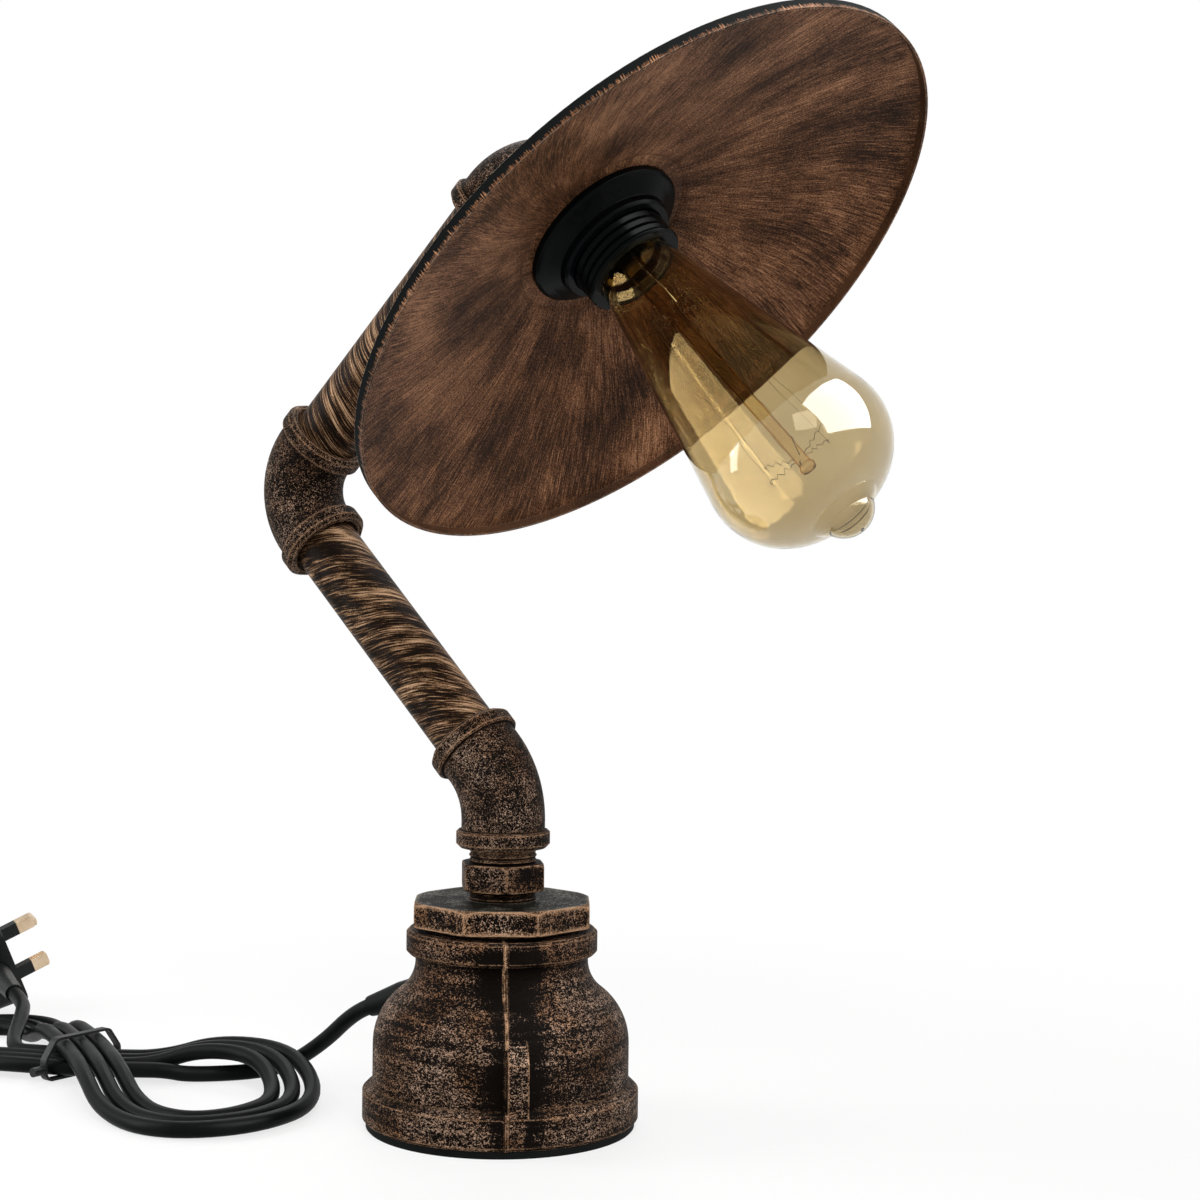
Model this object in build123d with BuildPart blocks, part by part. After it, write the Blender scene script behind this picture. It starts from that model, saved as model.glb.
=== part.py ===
"""Table lamp made of pipe fittings: cast base, zig-zag pipe arm, shallow shade, bulb and supply cord.

Millimetres, +Z up. The origin is the centre of the base's underside and the arm lies in the XZ plane, with
the shade towards +X.
"""
import os
from itertools import pairwise
from math import acos, atan, atan2, cos, hypot, pi, radians, sin, sqrt, tan

from build123d import *

os.makedirs("parts", exist_ok=True)

# Pipe and fittings
pipe_diameter = 26.8
pipe_bore = 20.9
pipe_chamfer = 1.0
socket_clearance = 0.05
socket_depth = 13.0
band_diameter = 37.0
band_length = 6.9
band_edge = 1.6
fitting_diameter = 33.0
mouth_recess = 1.7
lower_elbow_reach = 24.9
lower_elbow_bend = 34.0
elbow_reach = 33.3
elbow_bend = 24.0
thread_pitch = 1.81
thread_depth = 0.7

# Arm
arm_lean = 45.0
lower_pipe_length = 132.4
upper_pipe_length = 141.9

# Base: foot pad, closing plate and bell-shaped reducer
pad_thickness = 3.0
pad_inset = 1.4
pad_edge = 0.5
plate_thickness = 3.0
plate_clearance = 0.1
bell_height = 75.0
bell_radius = 50.5
bell_straight = 30.0
bell_shoulder_radius = 26.0
bell_wall = 6.5
neck_radius = 34.0
neck_length = 2.5
foot_band_proud = 3.9
foot_band_height = 13.0
top_band_proud = 3.65
top_band_height = 9.5
cast_edge = 1.2
rib_angle = -46.0
rib_width = 8.0
rib_proud = 3.6
rib_height = 24.0
fin_angle = -50.6
fin_width = 1.3
fin_proud = 0.7

# Octagon bush and hexagon nipple
bush_thread_radius = 29.85
bush_thread_length = 20.0
bush_wall = 5.5
bush_gap = 2.0
octagon_flats = 68.3
octagon_height = 9.5
octagon_turn = 13.5
nut_chamfer = 1.3
hexagon_flats = 31.0
hexagon_height = 10.5
hexagon_turn = 12.0
nipple_lower_gap = 4.0
nipple_upper_gap = 6.0
nipple_bore = 19.0

# Lampholder and shade, measured along the head's axis from the middle of the top elbow
holder_wall = 1.7
holder_cap_radius = 19.0
holder_cap_length = 10.7
holder_flange_radius = 24.0
holder_flange_thickness = 2.5
holder_edge = 1.5
flex_room = 1.0
sleeve_radius = 20.3
sleeve_ring_pitch = 3.4
sleeve_ring_depth = 0.9
sleeve_length = 23.0
sleeve_wall = 3.9
sleeve_tail_length = 6.0
sleeve_tail_inset = 0.6
sleeve_lip = 2.0
sleeve_edge = 0.8
insert_thickness = 5.0
shell_wall = 0.5
shell_length = 16.7
shell_edge = 0.1
contact_thickness = 0.8
contact_radius = 4.0
contact_edge = 0.3
terminal_offset = 9.0
terminal_radius = 2.4
terminal_height = 1.6
terminal_gap = 0.3
terminal_slot_width = 0.7
terminal_slot_depth = 0.6
shade_radius = 129.8
shade_metal = 0.9
shade_flat_radius = 37.5
shade_step = 1.2
shade_step_width = 2.0
shade_cone_depth = 29.8
shade_lip = 4.3
shade_fold = 0.6
shade_step_inset = 0.2
ring_radius = 32.5
ring_rim = 2.3
ring_collar_radius = 24.2
ring_height = 10.6
ring_clearance = 0.3
ring_edge = 1.2
ring_lip = 1.0

# Bulb
bulb_seat_gap = 0.3
cap_thread_radius = 13.1
cap_thread_depth = 0.8
cap_thread_pitch = 3.63
cap_thread_turns = 3
cap_skirt_radius = 14.5
cap_skirt_length = 4.5
cap_neck_length = 2.2
cap_wall = 0.4
cap_clearance = 0.35
button_radius = 4.8
button_height = 1.6
button_face_radius = 2.9
button_edge = 0.6
insulator_height = 3.2
insulator_inset = 0.5
glass_wall = 0.8
glass_neck_radius = 11.4
glass_length = 155.5
glass_seat = 2.0
glass_collar_gap = 1.0
glass_radius = 36.0
glass_dome_radius = 28.0
glass_collar_radius = 15.7
glass_nose_radius = 10.0
glass_nose_height = 9.5
glass_nose_lift = 3.2
glass_nose_angle = 77.3
glass_skirt_gap = 0.35
glass_neck_taper = 0.6
glass_skirt_lead = 0.8
stem_length = 40.0
stem_waist = 16.0
stem_radius = 4.2
stem_tip_radius = 3.6
stem_tip = 2.0
flare_gap = 0.2
flare_length = 1.5
stem_rod_radius = 2.5
stem_end_gap = 24.0
bead_proud = 0.8
bead_length = 3.6
wire_radius = 0.25
support_count = 6
near_support_radius = 10.0
far_support_radius = 15.0
support_inset = 3.0
support_gap = 0.02
wire_hook = 0.6
wire_gap = 0.3

# Supply cord
cord_diameter = 6.6
grommet_height = 46.0
grommet_dip = 20.0
grommet_radius = 6.0
grommet_tip_radius = 4.3
grommet_length = 21.0
grommet_root_walls = 1.6
stop_radius = 5.6
stop_length = 4.0
stop_edge = 0.8
inner_bend_share = 0.45
end_bend_share = 0.9
inner_turn_share = 0.45
cord_exit_run = 9.0
cord_end_run = 12.0
tail_start_run = 16.0

# Points of the free stretches: x, y and height above a strand that lies on the table
lead_points = [(-98.0, 5.0, 14.55), (-121.0, 4.0, 0.55), (-146.0, -24.0, 0.0)]
tail_points = [(-268.0, -8.0, 10.05)]

# Hank: a figure of eight wound three times, whose bundles of strands cross at the tie
hank_middle = (-193.0, -42.0)
hank_loops = 3
hank_floor_gap = 0.15
hank_layer_gap = 0.8
loop_gap = 1.6
tie_strand_gap = 0.9
end_strand_shift = 0.15

# Stations of one loop in the order the cord runs through them, measured from the hank's middle: x, y, heading
# in degrees, height in layers, number of the strand that runs through the place, share of the loop behind it
tie_out = (-16.4, -7.3, 200.0, 0.35, 0.5, 0.0)
left_near = (-77.0, -18.0, 180.0, 0.0, 0.0, 0.0)
left_end = (-107.0, 12.0, 90.0, 0.0, 0.0, 0.0)
left_far = (-68.0, 38.0, -23.0, 0.15, 0.0, 0.0)
over_in = (-22.5, 13.0, -28.0, 1.37, 0.0, 0.0)
over_out = (22.0, -13.8, -34.0, 1.37, 0.0, 0.0)
right_near = (87.0, -45.0, -10.0, 0.0, 0.0, 0.05)
right_end = (120.0, -12.0, 100.0, 0.15, 0.5, 0.5)
right_far = (59.0, 33.0, 188.0, 1.45, 1.0, 0.95)
tie_in = (17.3, 10.0, 214.0, 0.35, 0.5, 1.0)

tie_width = 3.6
tie_thickness = 1.1
tie_gap = 0.7
tie_corner = 3.0
tie_knot_length = 6.0
tie_knot_radius = 2.0

# Plug with three flat pins
plug_origin = (-330.0, 32.0, 29.4)
plug_heading = 62.0
plug_tilt = 24.0
plug_roll = -77.0
plug_width = 46.0
plug_top_width = 34.0
plug_length = 46.0
plug_depth = 18.0
plug_corner = 7.0
plug_taper = 7.0
plug_back_edge = 2.5
pin_pitch = 22.2
pin_row = -8.0
earth_row = 14.2
pin_shift = 1.0
pin_width = 6.35
pin_thickness = 4.0
pin_length = 17.7
pin_root = 6.0
sleeve_on_pin = 9.5
pin_skin = 0.65
pin_edge = 0.8
earth_width = 8.0
earth_length = 22.7
plug_clearance = 0.05
fuse_cover_width = 8.0
fuse_cover_length = 27.0
fuse_cover_thickness = 2.5
fuse_cover_inset = 4.5
fuse_radius = 3.1
fuse_length = 25.0
relief_depth = 9.0
relief_radius = 5.6
relief_tip_radius = 4.2
relief_length = 24.0
relief_root = 4.0


# Helpers
def save(builder, name):
    """Label a finished piece and write its STEP file."""
    builder.part.label = name
    export_step(builder.part, f"parts/{name}.step")


def half_section(frame, points):
    """Closed half section about a frame's z axis, from points of (radius, distance along the axis)."""
    with BuildSketch(Plane(frame.origin, x_dir=frame.x_dir, z_dir=-frame.y_dir)) as section:
        with BuildLine():
            Polyline(*points, close=True)
        make_face()
    return section.sketch


def axis_of(frame):
    """Axis through a frame's origin along its z direction."""
    return Axis(frame.origin, frame.z_dir)


def turned(frame, angle):
    """Copy of a frame turned about its own z direction by an angle in degrees."""
    turn = radians(angle)
    return Plane(frame.origin, x_dir=frame.x_dir * cos(turn) + frame.y_dir * sin(turn), z_dir=frame.z_dir)


def ring_grooves(radius, depth, start, end, pitch):
    """Outline points of thread-like rings between two distances along an axis."""
    count = max(1, round((end - start) / pitch))
    step = (end - start) / count
    points = []
    for index in range(count):
        points.append((radius - depth, start + index * step))
        points.append((radius, start + (index + 0.5) * step))
    points.append((radius - depth, end))
    return points


def tube_between(frame, outer, inner, start, end, edge):
    """Half section of a plain tube with chamfered outer ends."""
    outline = [(inner, start), (outer - edge, start), (outer, start + edge)]
    outline += [(outer, end - edge), (outer - edge, end), (inner, end)]
    return half_section(frame, outline)


def polygon_radius(flats, sides):
    """Radius over the corners of a regular nut."""
    return flats / 2 / cos(pi / sides)


def route_radii(points, end_share):
    """Largest even bend radius at each inner point of a route; an end run gives its bend its own share."""
    runs = [after - before for before, after in pairwise(points)]
    shares = [end_share, *[inner_bend_share] * (len(runs) - 2), end_share]
    rooms = [run.length * share for run, share in zip(runs, shares)]
    radii = []
    for index, (run, following) in enumerate(pairwise(runs)):
        turn = run.get_angle(following)
        radii.append(min(rooms[index], rooms[index + 1]) / tan(radians(turn) / 2))
    return radii


def elbow(centre, inlet, outlet, reach, bend):
    """Cast elbow with a banded socket at each mouth; inlet and outlet point from its middle to the mouths."""
    mouths = [(centre + inlet * reach, inlet), (centre + outlet * reach, outlet)]
    socket_radius = pipe_diameter / 2 + socket_clearance
    recess_radius = socket_radius + mouth_recess
    band_radius = band_diameter / 2
    with BuildPart() as casting:
        with BuildLine() as run:
            FilletPolyline(mouths[0][0], centre, mouths[1][0], radius=bend)
        with BuildSketch(Plane(mouths[0][0], z_dir=-inlet)):
            Circle(fitting_diameter / 2)
        sweep()
        for mouth, outward in mouths:
            frame = Plane(mouth, x_dir=(0, 1, 0), z_dir=-outward)
            band = [(0, 0), (band_radius - band_edge, 0), (band_radius, band_edge)]
            band += [(band_radius, band_length - band_edge / 2), (band_radius - band_edge / 2, band_length)]
            band += [(0, band_length)]
            revolve(half_section(frame, band), axis=axis_of(frame))
        with BuildSketch(Plane(mouths[0][0], z_dir=-inlet)):
            Circle(pipe_bore / 2)
        sweep(path=run.wire(), mode=Mode.SUBTRACT)
        for mouth, outward in mouths:
            frame = Plane(mouth, x_dir=(0, 1, 0), z_dir=-outward)
            socket = [(0, 0), (recess_radius, 0), (socket_radius, mouth_recess)]
            socket += [(socket_radius, socket_depth + socket_clearance), (0, socket_depth + socket_clearance)]
            revolve(half_section(frame, socket), axis=axis_of(frame), mode=Mode.SUBTRACT)
    return casting


def cord_along(points, radii, radius):
    """Round cord along straight runs joined by tangent arcs."""
    with BuildPart() as cord:
        with BuildLine() as route:
            FilletPolyline(*points, radius=radii)
        with BuildSketch(Plane(points[0], z_dir=points[1] - points[0])):
            Circle(radius)
        sweep()
    length = route.wire().length
    print(f"cord stretch: length {length:.1f}, volume over section times length "
          f"{cord.part.volume / (pi * radius**2 * length):.5f}, radii {[round(value, 1) for value in radii]}")
    return cord


# Heights of the base stack and the arm's chain of middles
bell_bottom = pad_thickness
bell_top = bell_bottom + bell_height
octagon_bottom = bell_top + bush_gap
octagon_top = octagon_bottom + octagon_height
hexagon_bottom = octagon_top + nipple_lower_gap
hexagon_top = hexagon_bottom + hexagon_height
first_mouth = hexagon_top + nipple_upper_gap
up = Vector(0, 0, 1)
lower_way = Vector(-sin(radians(arm_lean)), 0, cos(radians(arm_lean)))
upper_way = Vector(lower_way.Z, 0, -lower_way.X)
head_way = Vector(upper_way.Z, 0, -upper_way.X)
lower_middle = up * (first_mouth + lower_elbow_reach)
lower_span = lower_elbow_reach + lower_pipe_length - 2 * socket_depth + elbow_reach
middle_middle = lower_middle + lower_way * lower_span
upper_span = 2 * elbow_reach + upper_pipe_length - 2 * socket_depth
top_middle = middle_middle + upper_way * upper_span
base_frame = Plane.XY
arm_frame = Plane(lower_middle, x_dir=(0, 1, 0), z_dir=lower_way)
forearm_frame = Plane(middle_middle, x_dir=(0, 1, 0), z_dir=upper_way)
head_frame = Plane(top_middle, x_dir=(0, 1, 0), z_dir=head_way)
pipe_radius = pipe_diameter / 2
socket_radius = pipe_radius + socket_clearance
cord_radius = cord_diameter / 2

# Bell outline: a straight foot, a round shoulder and a hollow curve up to the neck
foot_band_radius = bell_radius + foot_band_proud
top_band_radius = neck_radius + top_band_proud
pad_radius = foot_band_radius - pad_inset
shoulder_start = bell_bottom + bell_straight
neck_start = bell_top - top_band_height - neck_length
shoulder_drop = bell_radius - neck_radius
shoulder_turn = 2 * atan(shoulder_drop / (neck_start - shoulder_start))
hollow_radius = (neck_start - shoulder_start) / sin(shoulder_turn) - bell_shoulder_radius


def arc_point(radius_middle, height_middle, radius, angle):
    """Point on an arc of the bell's outline."""
    return (radius_middle + radius * cos(angle), height_middle + radius * sin(angle))


def bell_section(grow, inner_foot, inner_neck, bottom, top):
    """Half section of the bell between an outer outline, grown outwards, and straight inner walls."""
    shoulder = (bell_radius - bell_shoulder_radius, shoulder_start, bell_shoulder_radius + grow)
    hollow = (neck_radius + hollow_radius, neck_start, hollow_radius - grow)
    band_bottom = bell_top - top_band_height - grow
    foot_top = bell_bottom + foot_band_height + grow
    inner_top = neck_start - bell_wall
    with BuildSketch(Plane.XZ) as section:
        with BuildLine():
            Polyline(
                (inner_neck, top), (inner_neck, inner_top),
                (inner_foot, shoulder_start), (inner_foot, bottom),
                (foot_band_radius + grow - cast_edge, bottom), (foot_band_radius + grow, bottom + cast_edge),
                (foot_band_radius + grow, foot_top - cast_edge),
                (foot_band_radius + grow - cast_edge, foot_top),
                (bell_radius + grow, foot_top + cast_edge), (bell_radius + grow, shoulder_start),
            )
            ThreePointArc(
                (bell_radius + grow, shoulder_start),
                arc_point(*shoulder, shoulder_turn / 2),
                arc_point(*shoulder, shoulder_turn),
            )
            ThreePointArc(
                arc_point(*hollow, pi + shoulder_turn),
                arc_point(*hollow, pi + shoulder_turn / 2),
                (neck_radius + grow, neck_start),
            )
            Polyline(
                (neck_radius + grow, neck_start), (neck_radius + grow, band_bottom),
                (top_band_radius + grow - cast_edge, band_bottom),
                (top_band_radius + grow, band_bottom + cast_edge), (top_band_radius + grow, top - cast_edge),
                (top_band_radius + grow - cast_edge, top), (inner_neck, top),
            )
        make_face()
    return section.sketch


# Base
with BuildPart() as base_pad:
    revolve(half_section(base_frame, [
        (0, 0), (pad_radius - pad_edge, 0), (pad_radius, pad_edge), (pad_radius, pad_thickness),
        (0, pad_thickness),
    ]), axis=Axis.Z)
save(base_pad, "base_pad")

plate_radius = bell_radius - bell_wall - plate_clearance
with BuildPart() as base_plate:
    revolve(half_section(base_frame, [
        (0, bell_bottom), (plate_radius, bell_bottom),
        (plate_radius, bell_bottom + plate_thickness), (0, bell_bottom + plate_thickness),
    ]), axis=Axis.Z)
save(base_plate, "base_plate")

bush_hole_radius = bush_thread_radius + socket_clearance
grommet_way = Vector(-cos(radians(grommet_dip)), 0, -sin(radians(grommet_dip)))
grommet_sine = (grommet_height - shoulder_start) / bell_shoulder_radius
wall_radius = bell_radius - bell_shoulder_radius * (1 - sqrt(1 - grommet_sine**2))
grommet_frame = Plane(Vector(-wall_radius, 0, grommet_height), x_dir=(0, 1, 0), z_dir=grommet_way)
grommet_root = -bell_wall * grommet_root_walls

# The flex leaves the grommet, turns and rises through the bush; the casting is open all the way around it
nipple_bottom = octagon_bottom
nipple_top = first_mouth + socket_depth
flex_start = grommet_frame.from_local_coords(Vector(0, 0, grommet_root))
flex_turn = flex_start - grommet_way * (flex_start.X / grommet_way.X) * inner_turn_share
base_flex_route = [flex_start, flex_turn, up * (octagon_bottom - bush_thread_length / 2), up * nipple_top]
base_flex_bends = route_radii(base_flex_route, inner_bend_share)
with BuildPart() as base_reducer:
    revolve(bell_section(0, bell_radius - bell_wall, bush_hole_radius, bell_bottom, bell_top), axis=Axis.Z)
    for turn in (0, 180):
        with BuildSketch(Plane.XZ.rotated((0, 0, rib_angle + turn))):
            rib_foot = bell_bottom + foot_band_height - cast_edge
            rib_root = bell_radius - bell_wall / 2
            with BuildLine():
                Polyline(
                    (rib_root, rib_foot), (bell_radius + rib_proud, rib_foot),
                    (bell_radius + rib_proud, rib_foot + rib_height - rib_proud),
                    (bell_radius - rib_proud / 2, rib_foot + rib_height + rib_proud),
                    (rib_root, rib_foot + rib_height), close=True,
                )
            make_face()
        extrude(amount=rib_width / 2, both=True)
        fin_plane = Plane.XZ.rotated((0, 0, fin_angle + turn))
        fin = bell_section(fin_proud, bell_radius - bell_wall / 2, neck_radius - bell_wall / 3,
                           bell_bottom, bell_top)
        fin_face = fin.rotate(Axis.Z, fin_angle + turn)
        extrude(fin_face, amount=fin_width / 2, dir=fin_plane.z_dir, both=True)
    with BuildSketch(grommet_frame):
        Circle(grommet_radius + socket_clearance)
    extrude(amount=3 * bell_wall, both=True, mode=Mode.SUBTRACT)
    with BuildLine() as passage:
        FilletPolyline(*base_flex_route, radius=base_flex_bends)
    with BuildSketch(Plane(flex_start, z_dir=-grommet_way)):
        Circle(cord_radius + flex_room)
    sweep(path=passage.wire(), mode=Mode.SUBTRACT)
save(base_reducer, "base_reducer")

with BuildPart() as reducing_bush:
    with BuildSketch(Plane.XY.offset(octagon_bottom)):
        RegularPolygon(octagon_flats / 2, 8, major_radius=False, rotation=octagon_turn)
    extrude(amount=octagon_height)
    corner = polygon_radius(octagon_flats, 8)
    revolve(half_section(base_frame, [
        (0, octagon_bottom), (corner - nut_chamfer / 2, octagon_bottom),
        (corner, octagon_bottom + nut_chamfer / 2), (corner, octagon_top - nut_chamfer),
        (corner - 1.5 * nut_chamfer, octagon_top), (0, octagon_top),
    ]), axis=Axis.Z, mode=Mode.INTERSECT)
    thread_bottom = octagon_bottom - bush_thread_length
    outline = [(bush_thread_radius - bush_wall, thread_bottom)]
    outline += ring_grooves(bush_thread_radius, thread_depth, thread_bottom, octagon_bottom, thread_pitch)
    outline += [(bush_thread_radius - bush_wall, octagon_bottom)]
    revolve(half_section(base_frame, outline), axis=Axis.Z)
    with BuildSketch(Plane.XY.offset(octagon_top)):
        Circle(socket_radius)
    extrude(amount=-octagon_height, mode=Mode.SUBTRACT)
save(reducing_bush, "reducing_bush")

with BuildPart() as hex_nipple:
    with BuildSketch(Plane.XY.offset(hexagon_bottom)):
        RegularPolygon(hexagon_flats / 2, 6, major_radius=False, rotation=hexagon_turn)
    extrude(amount=hexagon_height)
    corner = polygon_radius(hexagon_flats, 6)
    revolve(half_section(base_frame, [
        (0, hexagon_bottom), (corner - nut_chamfer, hexagon_bottom), (corner, hexagon_bottom + nut_chamfer),
        (corner, hexagon_top - nut_chamfer), (corner - nut_chamfer, hexagon_top), (0, hexagon_top),
    ]), axis=Axis.Z, mode=Mode.INTERSECT)
    outline = [(0, nipple_bottom), (pipe_radius, nipple_bottom), (pipe_radius, octagon_top)]
    outline += ring_grooves(pipe_radius, thread_depth, octagon_top, hexagon_bottom, thread_pitch)
    outline += ring_grooves(pipe_radius, thread_depth, hexagon_top, first_mouth, thread_pitch)
    outline += [(pipe_radius, first_mouth), (pipe_radius, nipple_top), (0, nipple_top)]
    revolve(half_section(base_frame, outline), axis=Axis.Z)
    with BuildSketch(Plane.XY.offset(nipple_bottom)):
        Circle(nipple_bore / 2)
    extrude(amount=nipple_top - nipple_bottom, mode=Mode.SUBTRACT)
save(hex_nipple, "hex_nipple")

with BuildPart() as cord_grommet:
    revolve(half_section(grommet_frame, [
        (0, grommet_root), (grommet_radius, grommet_root), (grommet_radius, grommet_length / 6),
        (grommet_tip_radius, grommet_length), (0, grommet_length),
    ]), axis=axis_of(grommet_frame))
save(cord_grommet, "cord_grommet")

# Flex inside the fittings, cut where the arm swivels
swivel_points = [
    up * nipple_top,
    middle_middle - lower_way * (elbow_reach - socket_depth),
    top_middle - upper_way * (elbow_reach - socket_depth),
]
holder_back = elbow_reach + holder_wall
flex_routes = {
    "flex_arm": [swivel_points[0], lower_middle, swivel_points[1]],
    "flex_forearm": [swivel_points[1], middle_middle, swivel_points[2]],
    "flex_head": [swivel_points[2], top_middle, top_middle + head_way * (holder_back + terminal_height)],
}
save(cord_along(base_flex_route, base_flex_bends, cord_radius), "flex_base")
for name, route in flex_routes.items():
    save(cord_along(route, [end_bend_share * (elbow_reach - socket_depth)], cord_radius), name)

stop_frame = Plane(flex_start, x_dir=(0, 1, 0), z_dir=-grommet_way)
with BuildPart() as cord_stop:
    revolve(tube_between(stop_frame, stop_radius, cord_radius + socket_clearance, 0, stop_length, stop_edge),
            axis=axis_of(stop_frame))
save(cord_stop, "cord_stop")

# Pipes and elbows
save(elbow(lower_middle, -up, lower_way, lower_elbow_reach, lower_elbow_bend), "lower_elbow")
save(elbow(middle_middle, -lower_way, upper_way, elbow_reach, elbow_bend), "middle_elbow")
save(elbow(top_middle, -upper_way, head_way, elbow_reach, elbow_bend), "top_elbow")

lower_pipe_start = lower_elbow_reach - socket_depth
with BuildPart() as lower_pipe:
    revolve(tube_between(arm_frame, pipe_radius, pipe_bore / 2, lower_pipe_start,
                         lower_pipe_start + lower_pipe_length, pipe_chamfer), axis=axis_of(arm_frame))
save(lower_pipe, "lower_pipe")

upper_pipe_start = elbow_reach - socket_depth
with BuildPart() as upper_pipe:
    revolve(tube_between(forearm_frame, pipe_radius, pipe_bore / 2, upper_pipe_start,
                         upper_pipe_start + upper_pipe_length, pipe_chamfer), axis=axis_of(forearm_frame))
save(upper_pipe, "upper_pipe")

# Lampholder
head_axis = axis_of(head_frame)
seat = elbow_reach + holder_cap_length
sleeve_bore = sleeve_radius - sleeve_wall - sleeve_ring_depth
tail_radius = sleeve_radius - 2 * sleeve_ring_depth - sleeve_tail_inset
insert_back = holder_back + terminal_height
insert_front = insert_back + insert_thickness
flex_hole = cord_radius + flex_room
with BuildPart() as holder_cap:
    revolve(half_section(head_frame, [
        (flex_hole, elbow_reach - socket_depth), (pipe_radius - pipe_chamfer, elbow_reach - socket_depth),
        (pipe_radius, elbow_reach - socket_depth + pipe_chamfer), (pipe_radius, elbow_reach),
        (holder_cap_radius - holder_edge, elbow_reach), (holder_cap_radius, elbow_reach + holder_edge),
        (holder_cap_radius, seat - holder_flange_thickness),
        (holder_flange_radius, seat - holder_flange_thickness), (holder_flange_radius, seat),
        (tail_radius + plate_clearance, seat), (tail_radius + plate_clearance, seat - sleeve_tail_length),
        (sleeve_bore, seat - sleeve_tail_length), (sleeve_bore, holder_back), (flex_hole, holder_back),
    ]), axis=head_axis)
save(holder_cap, "holder_cap")

sleeve_front = seat + sleeve_length
with BuildPart() as holder_sleeve:
    outline = [(sleeve_bore, seat - sleeve_tail_length), (tail_radius, seat - sleeve_tail_length)]
    outline += [(tail_radius, seat)]
    rings_end = sleeve_front - sleeve_lip
    outline += ring_grooves(sleeve_radius, sleeve_ring_depth, seat, rings_end, sleeve_ring_pitch)
    outline += [(sleeve_radius, sleeve_front - 2 * sleeve_edge), (sleeve_radius, sleeve_front - sleeve_edge)]
    outline += [(sleeve_radius - sleeve_edge, sleeve_front), (sleeve_bore, sleeve_front)]
    revolve(half_section(head_frame, outline), axis=head_axis)
save(holder_sleeve, "holder_sleeve")

shell_radius = cap_thread_radius + cap_clearance
with BuildPart() as holder_insert:
    revolve(half_section(head_frame, [
        (0, insert_back), (sleeve_bore - plate_clearance, insert_back),
        (sleeve_bore - plate_clearance, insert_front), (0, insert_front),
    ]), axis=head_axis)
save(holder_insert, "holder_insert")

with BuildPart() as terminal_screws:
    with BuildSketch(head_frame.offset(insert_back)):
        with PolarLocations(terminal_offset, 3):
            Circle(terminal_radius)
    extrude(amount=terminal_gap - terminal_height)
    with BuildSketch(head_frame.offset(insert_back + terminal_gap - terminal_height)):
        with PolarLocations(terminal_offset, 3):
            Rectangle(2 * terminal_radius, terminal_slot_width)
    extrude(amount=terminal_slot_depth, mode=Mode.SUBTRACT)
save(terminal_screws, "terminal_screws")

with BuildPart() as screw_shell:
    revolve(tube_between(head_frame, shell_radius + shell_wall, shell_radius, insert_front,
                         insert_front + shell_length, shell_edge), axis=head_axis)
save(screw_shell, "screw_shell")

contact_front = insert_front + contact_thickness
with BuildPart() as centre_contact:
    revolve(half_section(head_frame, [
        (0, insert_front), (contact_radius, insert_front), (contact_radius - contact_edge, contact_front),
        (0, contact_front),
    ]), axis=head_axis)
save(centre_contact, "centre_contact")

# Shade and the ring that clamps it
shade_front = seat + shade_metal
hole_radius = sleeve_radius + ring_clearance
cone_start = seat + shade_step
cone_end = cone_start + shade_cone_depth
with BuildPart() as shade:
    revolve(half_section(head_frame, [
        (hole_radius, seat), (shade_flat_radius, seat), (shade_flat_radius + shade_step_width, cone_start),
        (shade_radius, cone_end), (shade_radius, cone_end + shade_lip),
        (shade_radius - shade_metal, cone_end + shade_lip),
        (shade_radius - shade_metal, cone_end + shade_fold),
        (shade_flat_radius + shade_step_width - shade_step_inset, cone_start + shade_metal),
        (shade_flat_radius - shade_step_inset, shade_front), (hole_radius, shade_front),
    ]), axis=head_axis)
save(shade, "shade")

with BuildPart() as shade_ring:
    ring_slope = (ring_radius + ring_collar_radius) / 2
    revolve(half_section(head_frame, [
        (hole_radius, shade_front), (ring_radius, shade_front), (ring_radius, shade_front + ring_rim),
        (ring_radius - ring_edge, shade_front + ring_rim + ring_lip),
        (ring_slope, shade_front + 2 * ring_rim),
        (ring_collar_radius, shade_front + 3 * ring_rim),
        (ring_collar_radius, shade_front + ring_height - ring_lip),
        (ring_collar_radius - ring_lip, shade_front + ring_height), (hole_radius, shade_front + ring_height),
    ]), axis=head_axis)
save(shade_ring, "shade_ring")

# Bulb
button_back = contact_front + bulb_seat_gap
button_front = button_back + button_height
cap_back = button_front + insulator_height
thread_end = cap_back + cap_thread_turns * cap_thread_pitch
skirt_start = thread_end + cap_neck_length
skirt_end = skirt_start + cap_skirt_length
cap_inner = cap_thread_radius - cap_thread_depth - cap_wall
with BuildPart() as bulb_contact:
    revolve(half_section(head_frame, [
        (0, button_back), (button_face_radius, button_back), (button_radius, button_front - button_edge),
        (button_radius, button_front), (0, button_front),
    ]), axis=head_axis)
save(bulb_contact, "bulb_contact")

insulator_radius = cap_thread_radius - cap_thread_depth
with BuildPart() as bulb_insulator:
    revolve(half_section(head_frame, [
        (0, button_front), (button_radius, button_front), (insulator_radius - insulator_inset, cap_back),
        (0, cap_back),
    ]), axis=head_axis)
save(bulb_insulator, "bulb_insulator")

with BuildPart() as bulb_cap:
    outline = [(0, cap_back)]
    outline += ring_grooves(cap_thread_radius, cap_thread_depth, cap_back, thread_end, cap_thread_pitch)
    outline += [(cap_skirt_radius, skirt_start), (cap_skirt_radius, skirt_end)]
    outline += [(cap_skirt_radius - cap_wall, skirt_end), (cap_skirt_radius - cap_wall, skirt_start)]
    outline += [(cap_inner, thread_end), (cap_inner, cap_back + cap_wall), (0, cap_back + cap_wall)]
    revolve(half_section(head_frame, outline), axis=head_axis)
save(bulb_cap, "bulb_cap")

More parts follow.
